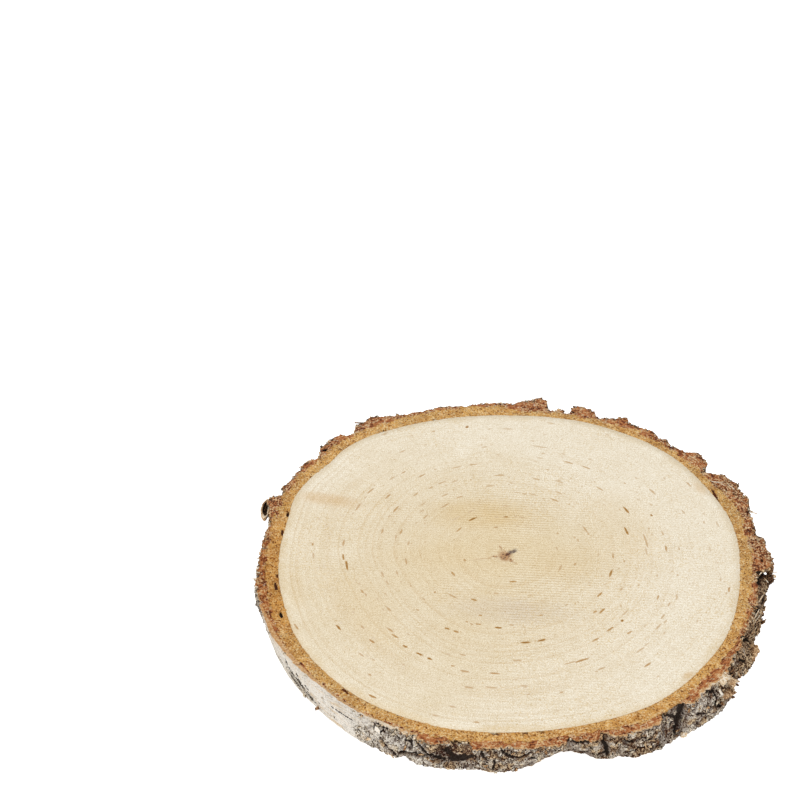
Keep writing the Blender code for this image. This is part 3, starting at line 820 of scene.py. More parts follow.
def stained(f, look, place, colour, broken):
    """The wood's colour with its stains laid over it, as far as they are broken up."""
    for angle, radius, length, width, turn, tint, strength in STAINS:
        around = math.radians(angle)
        inputs = {
            "Vector": place,
            "Location": (radius * MM * math.cos(around), radius * MM * math.sin(around), 0),
            "Rotation": (0, 0, math.radians(turn)),
            "Scale": (length * MM, width * MM, 1),
        }
        spot = f.node("ShaderNodeMapping", inputs, vector_type="TEXTURE").outputs[0]
        flat = f.vector("MULTIPLY", spot, (1, 1, 0))
        ball = f.node("ShaderNodeTexGradient", {"Vector": flat}, gradient_type="SPHERICAL").outputs["Fac"]
        ragged = f.times(f.between(ball, 0.0, 0.8), broken)
        colour = f.mix(f.times(ragged, strength, clamp=True), colour, getattr(look, tint))
    return colour


def late_wood(f, look, place, ring, sunny):
    """How strongly the dark end of each year's ring shows."""
    uneven = f.node("ShaderNodeTexNoise", {"W": ring, "Scale": 0.09, "Detail": 1.0}, noise_dimensions="1D")
    years = f.add(f.math("DIVIDE", ring, look.ring_spacing / MM), f.times(uneven.outputs[0], 3.2))
    years = f.add(years, f.around(f.noise(place, 14, 2), 1.2))
    year = f.node("ShaderNodeTexWhiteNoise", {"W": f.math("FLOOR", years)}, noise_dimensions="1D")
    season = f.math("FRACT", years)
    late = f.times(f.between(season, 0.3, 0.95), f.between(season, 1.0, 0.95))
    patchy = f.between(f.noise(place, 22, 2), 0.3, 0.75)
    strong = f.add(f.times(year.outputs["Value"], 0.22), 0.02)
    strong = f.times(strong, f.add(patchy, f.between(sunny, 0.25, -0.35)))
    return f.times(late, strong)


def wood_grain(f, look, place, ring, mottling):
    """The light and shade of rays, pores and saw lines on the wood, and the saw lines by themselves."""
    heading = f.node("ShaderNodeVectorMath", {0: place}, operation="NORMALIZE").outputs[0]
    outwards = f.vector("MULTIPLY", place, (30, 30, 0))
    fan = f.vector("ADD", f.vector("MULTIPLY", heading, (90, 90, 0)), outwards)
    rays = f.noise(fan, 1.0, 2)
    along = f.node("ShaderNodeSeparateXYZ", {0: place}).outputs[1]
    uneven = f.noise(place, 30, 2)
    bent = f.add(along, f.times(uneven, 0.0012))
    saw_lines = f.math("SINE", f.times(bent, 2 * math.pi / look.saw_spacing))
    near_pith = f.between(ring, 70, 20)
    sawn = f.times(f.add(f.times(near_pith, 0.6), 0.25), f.between(uneven, 0.36, 0.62))
    shade = f.times(sawn, saw_lines, 0.15)
    for noise_field, amount in (
        (rays, 0.10), (f.noise(place, 2000, 1, 0.5), 1.15), (f.noise(place, 800, 2, 0.5), 0.26),
        (f.noise(place, 280, 2, 0.5), 0.12), (mottling, 0.10),
    ):
        shade = f.add(shade, f.around(noise_field, amount))
    return shade, saw_lines


def pith_colour(f, look, place, colour):
    """The wood's colour with the brown pith and the grey bud trace in it."""
    scraps = f.noise(place, 900, 3, 0.65)
    pith = f.times(f.field("pith"), f.add(f.times(scraps, 1.6), 0.05))
    colour = f.mix(f.times(pith, 0.95, clamp=True), colour, look.pith)
    dark = f.less(f.field("pith"), f.between(scraps, 0.36, 0.54))
    colour = f.mix(f.between(dark, 0.15, 0.9), colour, look.pith_dark)
    knot = f.times(f.field("knot"), f.add(f.times(scraps, 1.6), 0.1))
    return f.mix(f.times(knot, 0.95, clamp=True), colour, look.knot)


def wood_material(look):
    """Cream sawn birch: rings, fine grain, saw lines, stains and pith."""
    f = Finish("sawn_birch", 0.62)
    place = f.vector("SUBTRACT", f.place, (PITH[0], PITH[1], 0.0))
    ring = f.field("ring")
    clouds = f.noise(place, 16, 3)
    mottling = f.noise(place, 75, 3)
    sunny_side = f.node("ShaderNodeVectorMath", {0: place, 1: (5.0, 3.4, 0.0)}, operation="DOT_PRODUCT")
    sunny = sunny_side.outputs["Value"]
    reach = f.add(f.math("DIVIDE", ring, EDGE_RING_SIZE), f.times(sunny, 0.45))
    reach = f.add(reach, f.add(f.around(clouds, 0.9), f.around(mottling, 0.35)))
    colour = f.ramp(reach, (0.0, look.heart), (0.35, look.middle), (0.95, look.sapwood))
    colour = stained(f, look, place, colour, f.times(mottling, f.times(clouds, 4.0)))
    colour = f.mix(late_wood(f, look, place, ring, sunny), colour, look.ring_line)
    stipple = f.between(f.noise(place, 1150, 2, 0.6), 0.50, 0.68)
    golden = f.times(f.between(f.noise(place, 26, 3), 0.38, 0.68), 0.5)
    colour = f.mix(f.times(stipple, f.add(golden, 0.12)), colour, look.stain_yellow)
    specks = f.times(f.between(f.noise(place, 720, 2, 0.6), 0.665, 0.72), 0.45)
    colour = f.mix(specks, colour, look.fleck)
    shade, saw_lines = wood_grain(f, look, place, ring, mottling)
    tints = [f.add(f.times(shade, share), 1.0) for share in (0.75, 1.0, 1.45)]
    light = f.node("ShaderNodeCombineXYZ", {0: tints[0], 1: tints[1], 2: tints[2]}).outputs[0]
    colour = f.mix(1.0, colour, light, "MULTIPLY")
    rim = f.field("rim")
    warm_rim = f.add(rim, f.around(mottling, 9.0))
    colour = f.mix(f.times(f.between(warm_rim, 4.5, 0.3), 0.28), colour, look.stain_yellow)
    ragged_rim = f.add(rim, f.around(f.noise(place, 700, 3), 2.2))
    edge_line = f.times(f.between(ragged_rim, 0.28, -0.05), f.between(mottling, 0.40, 0.60))
    colour = pith_colour(f, look, place, f.mix(edge_line, colour, look.rim_line))
    rough_saw = f.add(f.times(saw_lines, 0.3), f.noise(place, 1500, 2, 0.7))
    return f.paint(colour, f.bump(rough_saw, 0.00015, 0.5))


def fleck_material(look):
    """Brown fleck that fades into the wood at its rim."""
    f = Finish("birch_fleck", 0.65)
    depth = f.field("depth")
    strength = f.field("strength")
    mottled = f.noise(f.place, 1100, 2)
    share = f.times(f.between(depth, 0.0, 0.5), f.add(f.times(strength, 0.9), 0.1))
    share = f.times(share, f.add(f.times(mottled, 1.1), 0.5), clamp=True)
    wood = f.mix(f.between(f.field("ring"), 20, 105), look.middle, look.sapwood)
    colour = f.mix(share, wood, look.fleck)
    deep = f.times(f.between(strength, 0.7, 1.0), f.between(depth, 0.3, 0.8))
    colour = f.mix(f.times(deep, 0.5), colour, look.fleck_dark)
    return f.paint(colour, f.bump(mottled, 0.0001, 0.5))


def ochre_colour(f, look):
    """Granular ochre with pale and dark grains and browner patches."""
    fine = f.noise(f.place, 1250, 2, 0.6)
    coarse = f.noise(f.vector("ADD", f.place, (0.3, 0.2, 0.1)), 1150, 2, 0.6)
    patches = f.noise(f.place, 230, 3)
    uneven = f.noise(f.place, 420, 2)
    colour = f.mix(f.between(patches, 0.42, 0.60), look.ochre, look.ochre_brown)
    pale = f.times(f.between(fine, 0.49, 0.57), f.between(uneven, 0.30, 0.60))
    colour = f.mix(pale, colour, look.ochre_light)
    dark = f.times(f.between(coarse, 0.47, 0.38), f.between(uneven, 0.66, 0.42))
    colour = f.mix(dark, colour, look.ochre_dark)
    return colour, f.add(fine, coarse)


def cork_colour(f, look, girth):
    """Reddish-brown cork with maroon and tan grains, in thin layers that run round the stem."""
    fine = f.noise(f.place, 1250, 2, 0.65)
    coarse = f.noise(f.place, 650, 3, 0.6)
    layers = f.noise(f.stretched(girth, (0.25, 0.25, 1.8)), 1.0, 3, 0.65)
    lobes = f.noise(f.place, 190, 2)
    calm = f.between(f.noise(f.place, 110, 2), 0.42, 0.58)
    lively = f.less(f.add(f.times(calm, 0.8), 0.5), f.times(f.field("calm"), 0.8))
    speckled = f.times(f.around(fine, 3.0), f.math("MAXIMUM", lively, 0.12))
    mixed = f.add(speckled, f.add(f.around(coarse, 1.1), f.around(layers, 1.3)), f.around(lobes, 0.9), 0.5)
    colour = f.ramp(
        mixed, (0.12, look.cork_dark), (0.34, look.cork_red), (0.46, look.cork), (0.60, look.cork),
        (0.74, look.cork_light), (0.92, look.cream),
    )
    return colour, mixed


def cream_sheets(f, look, rim):
    """The cream and tan sheets at the outer edge of the sawn bark, and how far in them each spot lies."""
    inset = f.less(f.field("cream"), rim)
    grain = f.noise(f.place, 900, 2, 0.6)
    pale = f.ramp(grain, (0.34, look.cork_light), (0.42, look.cream), (0.75, look.paper))
    pale = f.mix(f.field("paper"), pale, look.paper)
    inner = f.ramp(grain, (0.36, look.tan), (0.48, look.cork_light), (0.70, look.cream))
    depth = f.less(inset, f.times(f.field("paper"), 1.6))
    return f.mix(f.between(depth, 0.6, 1.1), inner, pale), inset


def bark_section(f, look, girth):
    """The sawn bark: ochre inside, then cork in cells outlined with cream, then cream sheets."""
    ochre, grains = ochre_colour(f, look)
    cork, layers = cork_colour(f, look, girth)
    pick, cell_edge = f.cells(f.warped(f.place, 420, 0.0022), 270)
    layer = f.field("layer")
    border = f.add(layer, f.add(f.around(pick, 2.6), f.around(f.noise(f.place, 600, 3), 2.2)))
    colour = f.mix(f.between(border, -0.25, 0.25), ochre, cork)
    outlines = f.times(f.between(cell_edge, 0.085, 0.02), f.between(f.noise(f.place, 330, 2), 0.50, 0.60))
    outlines = f.times(outlines, f.between(layer, -2.5, 0.0))
    colour = f.mix(f.times(outlines, 0.7), colour, look.cream)
    rim = f.add(f.field("rim"), f.around(f.noise(f.place, 400, 2), 1.3))
    colour = f.mix(f.times(f.between(rim, 0.9, 0.1), 0.3), colour, look.cork_dark)
    sheets, inset = cream_sheets(f, look, rim)
    colour = f.mix(f.between(inset, -0.15, 0.15), colour, sheets)
    crumbs = f.between(f.noise(f.place, 900, 3, 0.6), 0.40, 0.33)
    colour = f.mix(f.times(crumbs, 0.6), colour, look.cork_dark)
    golden = f.node("ShaderNodeCombineXYZ", {0: 0.88, 1: 0.76, 2: 0.60}).outputs[0]
    colour = f.mix(f.field("deep"), colour, f.mix(1.0, colour, golden, "MULTIPLY"))
    return colour, f.add(grains, layers)


def grey_scales(f, look, tone, warm):
    """Grey bark with warmer patches."""
    grey = f.ramp(
        f.add(tone, 0.78), (0.14, look.black), (0.36, look.grey_dark), (0.54, look.grey),
        (0.74, look.grey_light), (1.0, look.paper),
    )
    warmed = f.ramp(
        f.add(tone, 0.70), (0.10, look.black), (0.34, look.brown), (0.54, look.tan), (0.78, look.cream),
    )
    warm_here = f.add(f.field("warm"), f.times(f.between(warm, 0.50, 0.64), 0.35), clamp=True)
    return f.mix(warm_here, grey, warmed)


def brown_scales(f, look, tone, girth):
    """Brown bark, in strands that run round the stem."""
    strands = f.noise(f.stretched(girth, (0.18, 0.18, 2.0)), 1.0, 3, 0.7)
    return f.ramp(
        f.add(tone, f.around(strands, 3.0), 0.61), (0.05, look.black), (0.28, look.cork_dark),
        (0.50, look.brown), (0.72, look.tan), (0.95, look.cream),
    )


def paper_sheet(f, look, middle, girth):
    """White paper bark with faint warm stripes and tan specks."""
    stripes = f.noise(f.stretched(girth, (0.10, 0.10, 1.1)), 1.0, 3, 0.6)
    sheet = f.ramp(stripes, (0.36, look.paper_warm), (0.47, look.paper), (1.0, look.paper))
    return f.mix(f.times(f.between(middle, 0.44, 0.34), 0.35), sheet, look.tan)


def weathered_side(f, look, girth):
    """The outside of the bark, with its relief: grey or brown scales, and white paper with dark marks."""
    fine = f.noise(f.place, 1300, 2, 0.7)
    middle = f.noise(f.place, 720, 3, 0.65)
    warm = f.noise(f.place, 230, 3)
    tone = f.add(f.around(fine, 7.6), f.add(f.around(middle, 2.0), f.around(f.field("tint"), 0.5)))
    grey_here = f.between(f.add(f.field("grey"), f.around(warm, 1.6)), 0.4, 0.6)
    side = f.mix(grey_here, brown_scales(f, look, tone, girth), grey_scales(f, look, tone, warm))
    paper = f.add(f.field("paper"), f.around(middle, 1.1))
    side = f.mix(f.between(paper, 0.42, 0.55), side, paper_sheet(f, look, middle, girth))
    marks = f.add(f.field("mark"), f.around(fine, 3.2))
    return f.mix(f.between(marks, 0.45, 0.65), side, look.black), f.add(fine, middle)


def bark_finish(name):
    """A dull finish, as all bark has."""
    f = Finish(name, 0.95)
    f.shader.inputs["Specular IOR Level"].default_value = 0.08
    return f


def bark_material(name, look, outer):
    """Bark on the sawn faces and, on the outer bark, the weathered side."""
    f = bark_finish(name)
    girth = f.field("girth", "Vector")
    colour, height = bark_section(f, look, girth)
    if outer:
        side, side_height = weathered_side(f, look, girth)
        depth = f.add(f.field("depth"), f.around(f.noise(f.place, 500, 2), 0.12))
        colour = f.mix(f.between(depth, 0.01, 0.05), colour, side)
        # Cracks are dark of their own; the hollows behind the bark round them get painted shade, in dark cork
        # and black, from the same mask
        furrow = f.add(f.field("furrow"), f.around(side_height, 0.7))
        colour = f.mix(f.times(f.between(furrow, 0.40, 0.80), 0.6), colour, look.cork_dark)
        colour = f.mix(f.times(f.between(furrow, 0.85, 1.25), 0.94), colour, look.black)
        height = f.add(height, side_height)
    # Pits: red-brown of their own where red, elsewhere black as painted shade in the hole
    inside = f.mix(f.field("red"), look.black, look.cork_red)
    pit = f.add(f.field("pit"), f.around(f.noise(f.place, 1000, 2), 1.2))
    colour = f.mix(f.between(pit, 0.35, 0.6), colour, inside)
    return f.paint(colour, f.bump(height, 0.0005, 0.8))


def own(piece, material):
    """Give a finished piece its material and its place in the model."""
    piece.data.materials.clear()
    piece.data.materials.append(material)
    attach(piece, BODY)
    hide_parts(NODE)


def pit_marks(angles, reach):
    """Depth in mm, mark and redness of the dark pits over a patch given by angles and reaches; where they are
    not red, their dark is painted shade in the hole.
    """
    depth = np.zeros(reach.shape)
    red = np.zeros(reach.shape)
    wobble = 0.35 * drift(np.stack(np.broadcast_arrays(angles * 2.0, reach, 7.0), -1), 1.3)
    for angle, middle, half_length, half_width, lean, redness in BARK_PITS:
        along = turned_from(angles, angle) / half_length
        across = (reach - middle - lean / 2 * along) / half_width
        mark = 1 - ease(np.hypot(along, across) + wobble, 0.55, 1.15)
        red = np.where(mark > depth, redness, red)
        depth = np.maximum(depth, mark)
    return depth, red


def side_marks(marks, angles, depth):
    """Marks on the paper bark, full in the middle of each."""
    height = THICK * (1 - depth)
    wobble = 0.3 * drift(stem_points(angles, 8.0, height), 1.6)
    mark = np.zeros(height.shape)
    for angle, middle, half_length, half_height, lean, strength in marks:
        along = turned_from(angles, angle) / half_length
        across = (height - middle - lean * along) / half_height
        mark = np.maximum(mark, strength * (1 - ease(np.hypot(along, across) + wobble, 0.5, 1.2)))
    return mark


def wood_points(angles, edge):
    """Points of the sawn wood in mm: upper face outwards from the pith, wall, lower face back to it."""
    circles = 16  # mm from the pith, within which the rows are round
    core = np.concatenate([[0.25], np.arange(0.6, 8.0, 0.4), np.arange(8, circles, 1.0)])
    shares = np.linspace(0, 1, 24)[1:, None]
    around_pith = np.repeat(core[:, None], len(angles), axis=1)
    radius = np.concatenate([around_pith, circles + (edge - circles) * shares])
    turn = np.radians(angles)
    x = radius * np.cos(turn)
    y = radius * np.sin(turn)
    pith, knot = pith_marks(x, y)
    top = np.stack([x, y, THICK - 0.05 - 0.3 * pith - 0.5 * knot], -1)
    bark_gap = 0.06
    corner = stem_points(angles, bark_gap, THICK - 0.14)[None]
    wall = stem_points(angles, bark_gap, THICK / 2)[None]
    wood_low, _ = low_edges(angles)
    low_corner = stem_points(angles, wood_low + np.array([[0.0], [-0.1]]), np.array([[0.1], [0.0]]))
    low_radius = np.hypot(low_corner[-1, :, 0], low_corner[-1, :, 1])
    low_radius = low_radius * np.array([0.8, 0.55, 0.3, 0.15, 0.05, 0.002])[:, None]
    under = np.stack([low_radius * np.cos(turn), low_radius * np.sin(turn), 0 * low_radius], -1)
    return np.concatenate([top, corner, wall, low_corner, under])


class SLICE_OT_wood(bpy.types.Operator):
    """Sawn wood: upper face, edge and lower face round the pith"""

    bl_idname = "slice.wood"
    bl_label = "Sawn wood"

    def execute(self, context):
        look = context.scene.slice_wood
        stations = 720
        angles = np.arange(stations) * 360 / stations
        edge = smooth(WOOD_EDGE, angles)
        points = wood_points(angles, edge)
        piece, station, row = turned_blank("sawn_wood", stations, len(points))
        place_rows(piece, station, row, points)
        radius = np.hypot(points[..., 0], points[..., 1])
        pith, knot = pith_marks(points[..., 0], points[..., 1])
        ring = ring_size(angles, radius)
        write_values(piece, station, row, ring=ring, rim=edge - radius, pith=pith, knot=knot)
        fill_ring(piece, row == 0)
        fill_ring(piece, row == len(points) - 1)
        close_seam(piece)
        map_from_above(piece)
        own(piece, wood_material(look))
        return {"FINISHED"}


def assemble(name, pattern, places, values):
    """Copies of a pattern, each with its own points in mm and values, joined into one piece."""
    made = []
    for points, fields in zip(places, values):
        copy = bpy.data.objects.new(name, pattern.data.copy())
        bpy.context.scene.collection.objects.link(copy)
        copy.data.vertices.foreach_set("co", (points * MM + FOOT).ravel())
        for field, value in fields.items():
            layer = copy.data.attributes.new(field, "FLOAT", "POINT")
            layer.data.foreach_set("value", np.broadcast_to(value, len(points)).astype(float).copy())
        made.append(copy)
    bpy.data.objects.remove(pattern)
    bpy.ops.object.select_all(action="DESELECT")
    for copy in made:
        copy.select_set(True)
    bpy.context.view_layer.objects.active = made[0]
    bpy.ops.object.join()
    piece = bpy.context.object
    piece.name = name
    with editing():
        bpy.ops.mesh.normals_make_consistent(inside=False)
    bpy.ops.object.shade_smooth()
    return piece


def fleck_points(look, shape, seed, angle, radius, length, strength):
    """Points in mm of a fleck that follows its growth ring, from a round pattern's points."""
    inner = np.clip(1 - np.hypot(shape[:, 0], shape[:, 1]), 0, 1)
    wobble = np.array([noise.noise(Vector((seed * 3.1 + 1.7 * x, 1.9 * y, 0))) for x, y, _ in shape])
    half = max(0.5, length / 2) * 1.6
    turn = np.radians(angle + half * shape[:, 0] * (1 + 0.3 * wobble))
    width = look.fleck_width / MM / 2 * (0.55 + 0.45 * strength)
    bend = 0.35 * noise.noise(Vector((seed * 7.7, 0, 0))) * shape[:, 0]
    out = radius + width * shape[:, 1] * (1 + 0.5 * wobble) + bend + 0.3 * wobble * np.abs(shape[:, 0])
    height = THICK - 0.062 + 0.05 * inner
    return np.stack([out * np.cos(turn), out * np.sin(turn), height], -1), inner


class SLICE_OT_flecks(bpy.types.Operator):
    """Brown flecks in the wood, short and along the rings"""

    bl_idname = "slice.flecks"
    bl_label = "Wood flecks"

    def execute(self, context):
        look = context.scene.slice_wood
        add = bpy.ops.mesh.primitive_circle_add
        pattern = primitive("fleck_pattern", add, vertices=14, radius=1, fill_type="NGON")
        with editing():
            bpy.ops.mesh.inset(thickness=0.35)
            bpy.ops.mesh.inset(thickness=0.35)
            bpy.ops.mesh.poke()
        shape = points_of(pattern)
        draw = np.random.default_rng(41)
        wanted = list(FLECKS)
        for _ in range(SMALL_FLECKS):
            angle = draw.uniform(0, 360)
            radius = draw.uniform(12, 106)
            wanted.append((angle, radius, draw.uniform(0.5, 1.4), draw.uniform(0.1, 0.45)))
        places = []
        values = []
        for seed, (angle, radius, length, strength) in enumerate(wanted):
            points, inner = fleck_points(look, shape, seed, angle, radius, length, strength)
            places.append(points)
            values.append({"depth": inner, "strength": strength, "ring": radius})
        piece = assemble("wood_flecks", pattern, places, values)
        with editing():
            bpy.ops.mesh.extrude_region_move(TRANSFORM_OT_translate={"value": (0, 0, -0.15 * MM)})
            bpy.ops.mesh.select_all(action="SELECT")
            bpy.ops.mesh.normals_make_consistent(inside=False)
        bpy.ops.object.shade_smooth()
        own(piece, fleck_material(look))
        return {"FINISHED"}


class SLICE_OT_inner_bark(bpy.types.Operator):
    """Ochre inner bark: the granular ring between the wood and the cork"""

    bl_idname = "slice.inner_bark"
    bl_label = "Inner bark"

    def execute(self, context):
        look = context.scene.slice_bark
        stations = 1440
        angles = np.arange(stations) * 360 / stations
        top_reach, wall_low = bark_wall(angles)
        wood_low, _ = low_edges(angles)
        across = np.linspace(0, 1, 15)[:, None]
        reach = 0.04 + (top_reach - 0.04) * across
        ground = stem_points(angles, reach, 0.0)
        mark, red = pit_marks(angles, reach)
        grain = drift(ground, 1.1, 3)
        sink = 0.12 + 0.10 * grain + 0.10 * drift(ground, 5.0) + 0.15 * across + 1.4 * mark
        sink = np.maximum(0.03, sink)
        top = stem_points(angles, reach, THICK - sink)
        low_reach = wall_low + (wood_low - 0.1 - wall_low) * np.linspace(0, 1, 5)[:, None]
        low = stem_points(angles, low_reach, 0.12)
        inside = stem_points(angles, wood_low[None] * 0.5 - 0.1, THICK * 0.4)
        points = np.concatenate([top, low, inside, top[:1]])
        piece, station, row = turned_blank("inner_bark", stations, len(points))
        place_rows(piece, station, row, points)
        border = smooth(INNER_BARK, angles)
        reach_all = np.concatenate([reach, low_reach, reach[:1] * 0, reach[:1]])
        plain = np.zeros((len(points) - len(top), stations))
        write_values(
            piece, station, row, layer=reach_all - border, rim=straight(TOP_RIM, angles) - reach_all,
            pit=np.concatenate([mark, plain]), red=np.concatenate([red, plain]),
            deep=straight(DEEP, angles), calm=straight(CALM, angles),
        )
        write_girth(piece, station, row, angles, reach_all)
        share = np.concatenate([
            np.linspace(0, 0.72, len(reach)), np.linspace(0.74, 0.96, len(low_reach)), [0.98, 1.0],
        ])
        unroll(piece, station, row, stations, share, 8)
        close_seam(piece)
        own(piece, bark_material("ochre_inner_bark", look, False))
        return {"FINISHED"}


def bark_wall(angles):
    """Reaches of the wall between inner and outer bark, on the upper and on the lower face."""
    top = straight(TOP_RIM, angles)
    upper = np.maximum(1.2, np.minimum(smooth(INNER_BARK, angles), top - 1.4))
    _, lower = low_edges(angles)
    return upper, lower


def side_base(angles, depth):
    """Reach of the bark's side without its scales; depth runs from 0 at the top to 1 at the foot."""
    top = straight(TOP_RIM, angles)
    middle = straight(SIDE_REACH, angles)
    upper = top + (middle - top) * np.clip(depth / 0.5, 0, 1)
    return upper + (straight(LOW_RIM, angles) - upper) * np.clip((depth - 0.5) / 0.5, 0, 1)


def reach_at(angle, depth):
    """The reach of side_base at one spot."""
    return float(side_base(np.array([angle]), np.array([[depth]]))[0, 0])


def side_surface(angles, depth):
    """Reach of the bark's side, the random tone of its scales, and how far each spot lies in a crack."""
    rough = straight(ROUGH, angles)
    ground = stem_points(angles, 9.0, THICK * (1 - depth))
    rag = rough * (0.7 * drift(ground, (2.6, 2.6, 5.0)) + 0.35 * drift(ground + 50, (1.1, 1.1, 2.2)))
    base = side_base(angles, depth)
    warp = np.stack([drift(ground + k, 6.0) for k in (0, 90, 180)], -1)
    gap, pick = plates(ground + 2.4 * warp, (7.0, 7.0, 4.2))
    small_gap, small_pick = plates(ground + 1.0 * warp, (2.6, 2.6, 1.5))
    inside = np.clip(np.minimum(depth / 0.05, (1 - depth) / 0.05), 0, 1)
    large = 0.9 * (pick - 0.5) - 0.9 * (1 - ease(gap, 0.0, 0.10))
    small = 0.55 * (small_pick - 0.5) - 0.3 * (1 - ease(small_gap, 0.0, 0.2))
    fine = 0.3 * drift(ground + 20, (0.9, 0.9, 0.7))
    reach = base + rag + rough * inside * (large + small + fine)
    crack = np.maximum(1 - ease(gap, 0.0, 0.12), 0.6 * (1 - ease(small_gap, 0.0, 0.16)))
    return reach, 0.5 * pick + 0.5 * small_pick, rough * crack


def drawn_cracks(angles, depth):
    """How deep in mm the cracks of CRACKS are over the side, and 1 in their middles."""
    height = THICK * (1 - depth)
    rough = 0.5 * drift(stem_points(angles, 8.0, height), 1.4)
    cut = np.zeros(rough.shape)
    dark = np.zeros(rough.shape)
    arc = 2.18  # mm to a degree
    for half_width, deep, line in CRACKS:
        start = line[0][0]
        x = turned_from(angles, start) * arc
        spots = [(turned_from(angle, start) * arc, up) for angle, up in line]
        away = np.full(rough.shape, 99.0)
        for (x0, up0), (x1, up1) in zip(spots, spots[1:]):
            right = x1 - x0
            rise = up1 - up0
            share = np.clip(((x - x0) * right + (height - up0) * rise) / (right ** 2 + rise ** 2), 0, 1)
            away = np.minimum(away, np.hypot(x - x0 - share * right, height - up0 - share * rise))
        inside = 1 - ease(away / half_width + rough, 0.4, 1.3)
        cut = np.maximum(cut, deep * inside)
        dark = np.maximum(dark, inside)
    return cut, dark


def hollow_shade(reach, span_rows, span_stations):
    """How far each spot lies back behind the bark round it, from 0 to 1: the mask of painted shade in the
    hollows.
    """
    ridge = reach.copy()
    for shift in range(-span_rows, span_rows + 1):
        rows = np.clip(np.arange(len(reach)) + shift, 0, len(reach) - 1)
        ridge = np.maximum(ridge, reach[rows])
    wide = ridge.copy()
    for shift in range(-span_stations, span_stations + 1):
        wide = np.maximum(wide, np.roll(ridge, shift, axis=1))
    return np.clip((wide - reach - 0.6) / 4.4, 0, 1.3)


def sawn_rim(angles, wall, rim):
    """Upper sawn face of the outer bark: its points, their reaches, pits and redness, and painted shade in
    its deepest chips.
    """
    across = np.concatenate([np.linspace(0, 0.9, 12), [0.96]])[:, None]
    reach = wall + (rim - 0.1 - wall) * across
    ground = stem_points(angles, reach, 0.0)
    mark, red = pit_marks(angles, reach)
    near_rim = ease(across, 0.45, 1.0)
    chips = ease(drift(ground, 2.8, 3), 0.0, 0.45) * near_rim * (0.25 + 0.75 * straight(ROUGH, angles))
    grain = 0.16 * drift(ground, 0.9, 2) + 0.14 * drift(ground, 3.5)
    sink = np.maximum(0.05, 0.3 + grain + 0.9 * chips + 0.12 * near_rim + 1.8 * mark)
    sink[0] = 0.28
    # Painted shade in the deepest chips near the rim
    crack = np.clip((chips - 0.6) * 0.5, 0, 1) * near_rim
    return stem_points(angles, reach, THICK - sink), reach, mark, red, crack


def lower_rim(angles, wall, rim):
    """Lower sawn face of the outer bark: its points and their reaches."""
    reach = wall + (rim - 0.2 - wall) * np.array([[0.94], [0.7], [0.4], [0.0]])
    sink = np.maximum(0.0, 0.15 + 0.15 * drift(stem_points(angles, reach, 0.0), 1.5))
    return stem_points(angles, reach, sink), reach


class SLICE_OT_outer_bark(bpy.types.Operator):
    """Outer bark: reddish cork on the sawn faces, scales, cracks and white paper on the side"""

    bl_idname = "slice.outer_bark"
    bl_label = "Outer bark"

    def execute(self, context):
        look = context.scene.slice_bark
        stations = 1800
        angles = np.arange(stations) * 360 / stations
        wall_top, wall_low = bark_wall(angles)
        depth = np.linspace(0.035, 0.965, 30)[:, None]
        side_reach, tint, gaps = side_surface(angles, depth)
        cut, drawn = drawn_cracks(angles, depth)
        innermost = wall_top * (1 - depth) + wall_low * depth + LEAST_OUTER_BARK
        side_reach = np.maximum(side_reach - cut, innermost)
        rim = side_reach[0]
        wall_top = np.minimum(wall_top, rim - LEAST_OUTER_BARK)
        wall_low = np.minimum(wall_low, side_reach[-1] - LEAST_OUTER_BARK)
        top, top_reach, mark, red, chip_shade = sawn_rim(angles, wall_top, rim)
        jitter = 0.35 * drift(stem_points(angles, 5.0, depth * THICK), (1.5, 1.5, 3.0))
        fade = np.clip(np.minimum(depth / 0.1, (1 - depth) / 0.1), 0, 1)
        rough = straight(ROUGH, angles)
        side = stem_points(angles, side_reach, THICK * (1 - depth) + jitter * fade * rough)
        low, low_reach = lower_rim(angles, wall_low, side_reach[-1])
        points = np.concatenate([top, side, low, top[:1]])
        piece, station, row = turned_blank("outer_bark", stations, len(points))
        place_rows(piece, station, row, points)
        reach = np.concatenate([top_reach, side_reach, low_reach, top_reach[:1]])
        depth = np.broadcast_to(depth, side_reach.shape)
        # Painted shade in the hollows behind the bark is joined here to the dark cracks between scales and
        # the drawn cracks
        crack = np.maximum(0.75 * hollow_shade(side_reach, 4, 9), 0.75 * gaps)
        crack = np.maximum(crack, 1.5 * drawn)
        tint = tint + side_marks(LIGHT_PATCHES, angles, depth) - side_marks(DARK_PATCHES, angles, depth)
        flat_top = np.zeros(top_reach.shape)
        flat_side = np.zeros(side_reach.shape)
        flat_low = np.zeros(low_reach.shape)
        none = np.zeros((1, stations))
        worn = np.concatenate([flat_top, side_marks(SCALY_PATCHES, angles, depth), flat_low, none])
        write_values(
            piece, station, row, layer=reach - smooth(INNER_BARK, angles),
            depth=np.concatenate([flat_top, depth, flat_low, none]),
            furrow=np.concatenate([chip_shade, crack, flat_low, none]),
            tint=np.concatenate([flat_top, tint, flat_low, none]),
            paper=straight(PAPER, angles) - worn, grey=straight(GREY, angles),
            cream=straight(CREAM_LAYER, angles), deep=straight(DEEP, angles), calm=straight(CALM, angles),
            warm=np.concatenate([flat_top, side_marks(WARM_PATCHES, angles, depth), flat_low, none]),
            pit=np.concatenate([mark, flat_side, flat_low, none]),
            red=np.concatenate([red, flat_side, flat_low, none]),
            rim=np.concatenate([rim - top_reach, flat_side, flat_low + 5, rim - top_reach[:1]]),
            mark=np.concatenate([flat_top, side_marks(SIDE_MARKS, angles, depth), flat_low, none]),
        )
        along = np.concatenate([top_reach, rim + depth * THICK, low_reach + 40, top_reach[:1]])
        write_girth(piece, station, row, angles, along)
        share = np.concatenate([
            np.linspace(0, 0.3, len(top)), np.linspace(0.32, 0.86, len(side)),
            np.linspace(0.88, 0.98, len(low)), [1.0],
        ])
        unroll(piece, station, row, stations, share, 5)
        close_seam(piece)
        own(piece, bark_material("weathered_outer_bark", look, True))
        return {"FINISHED"}


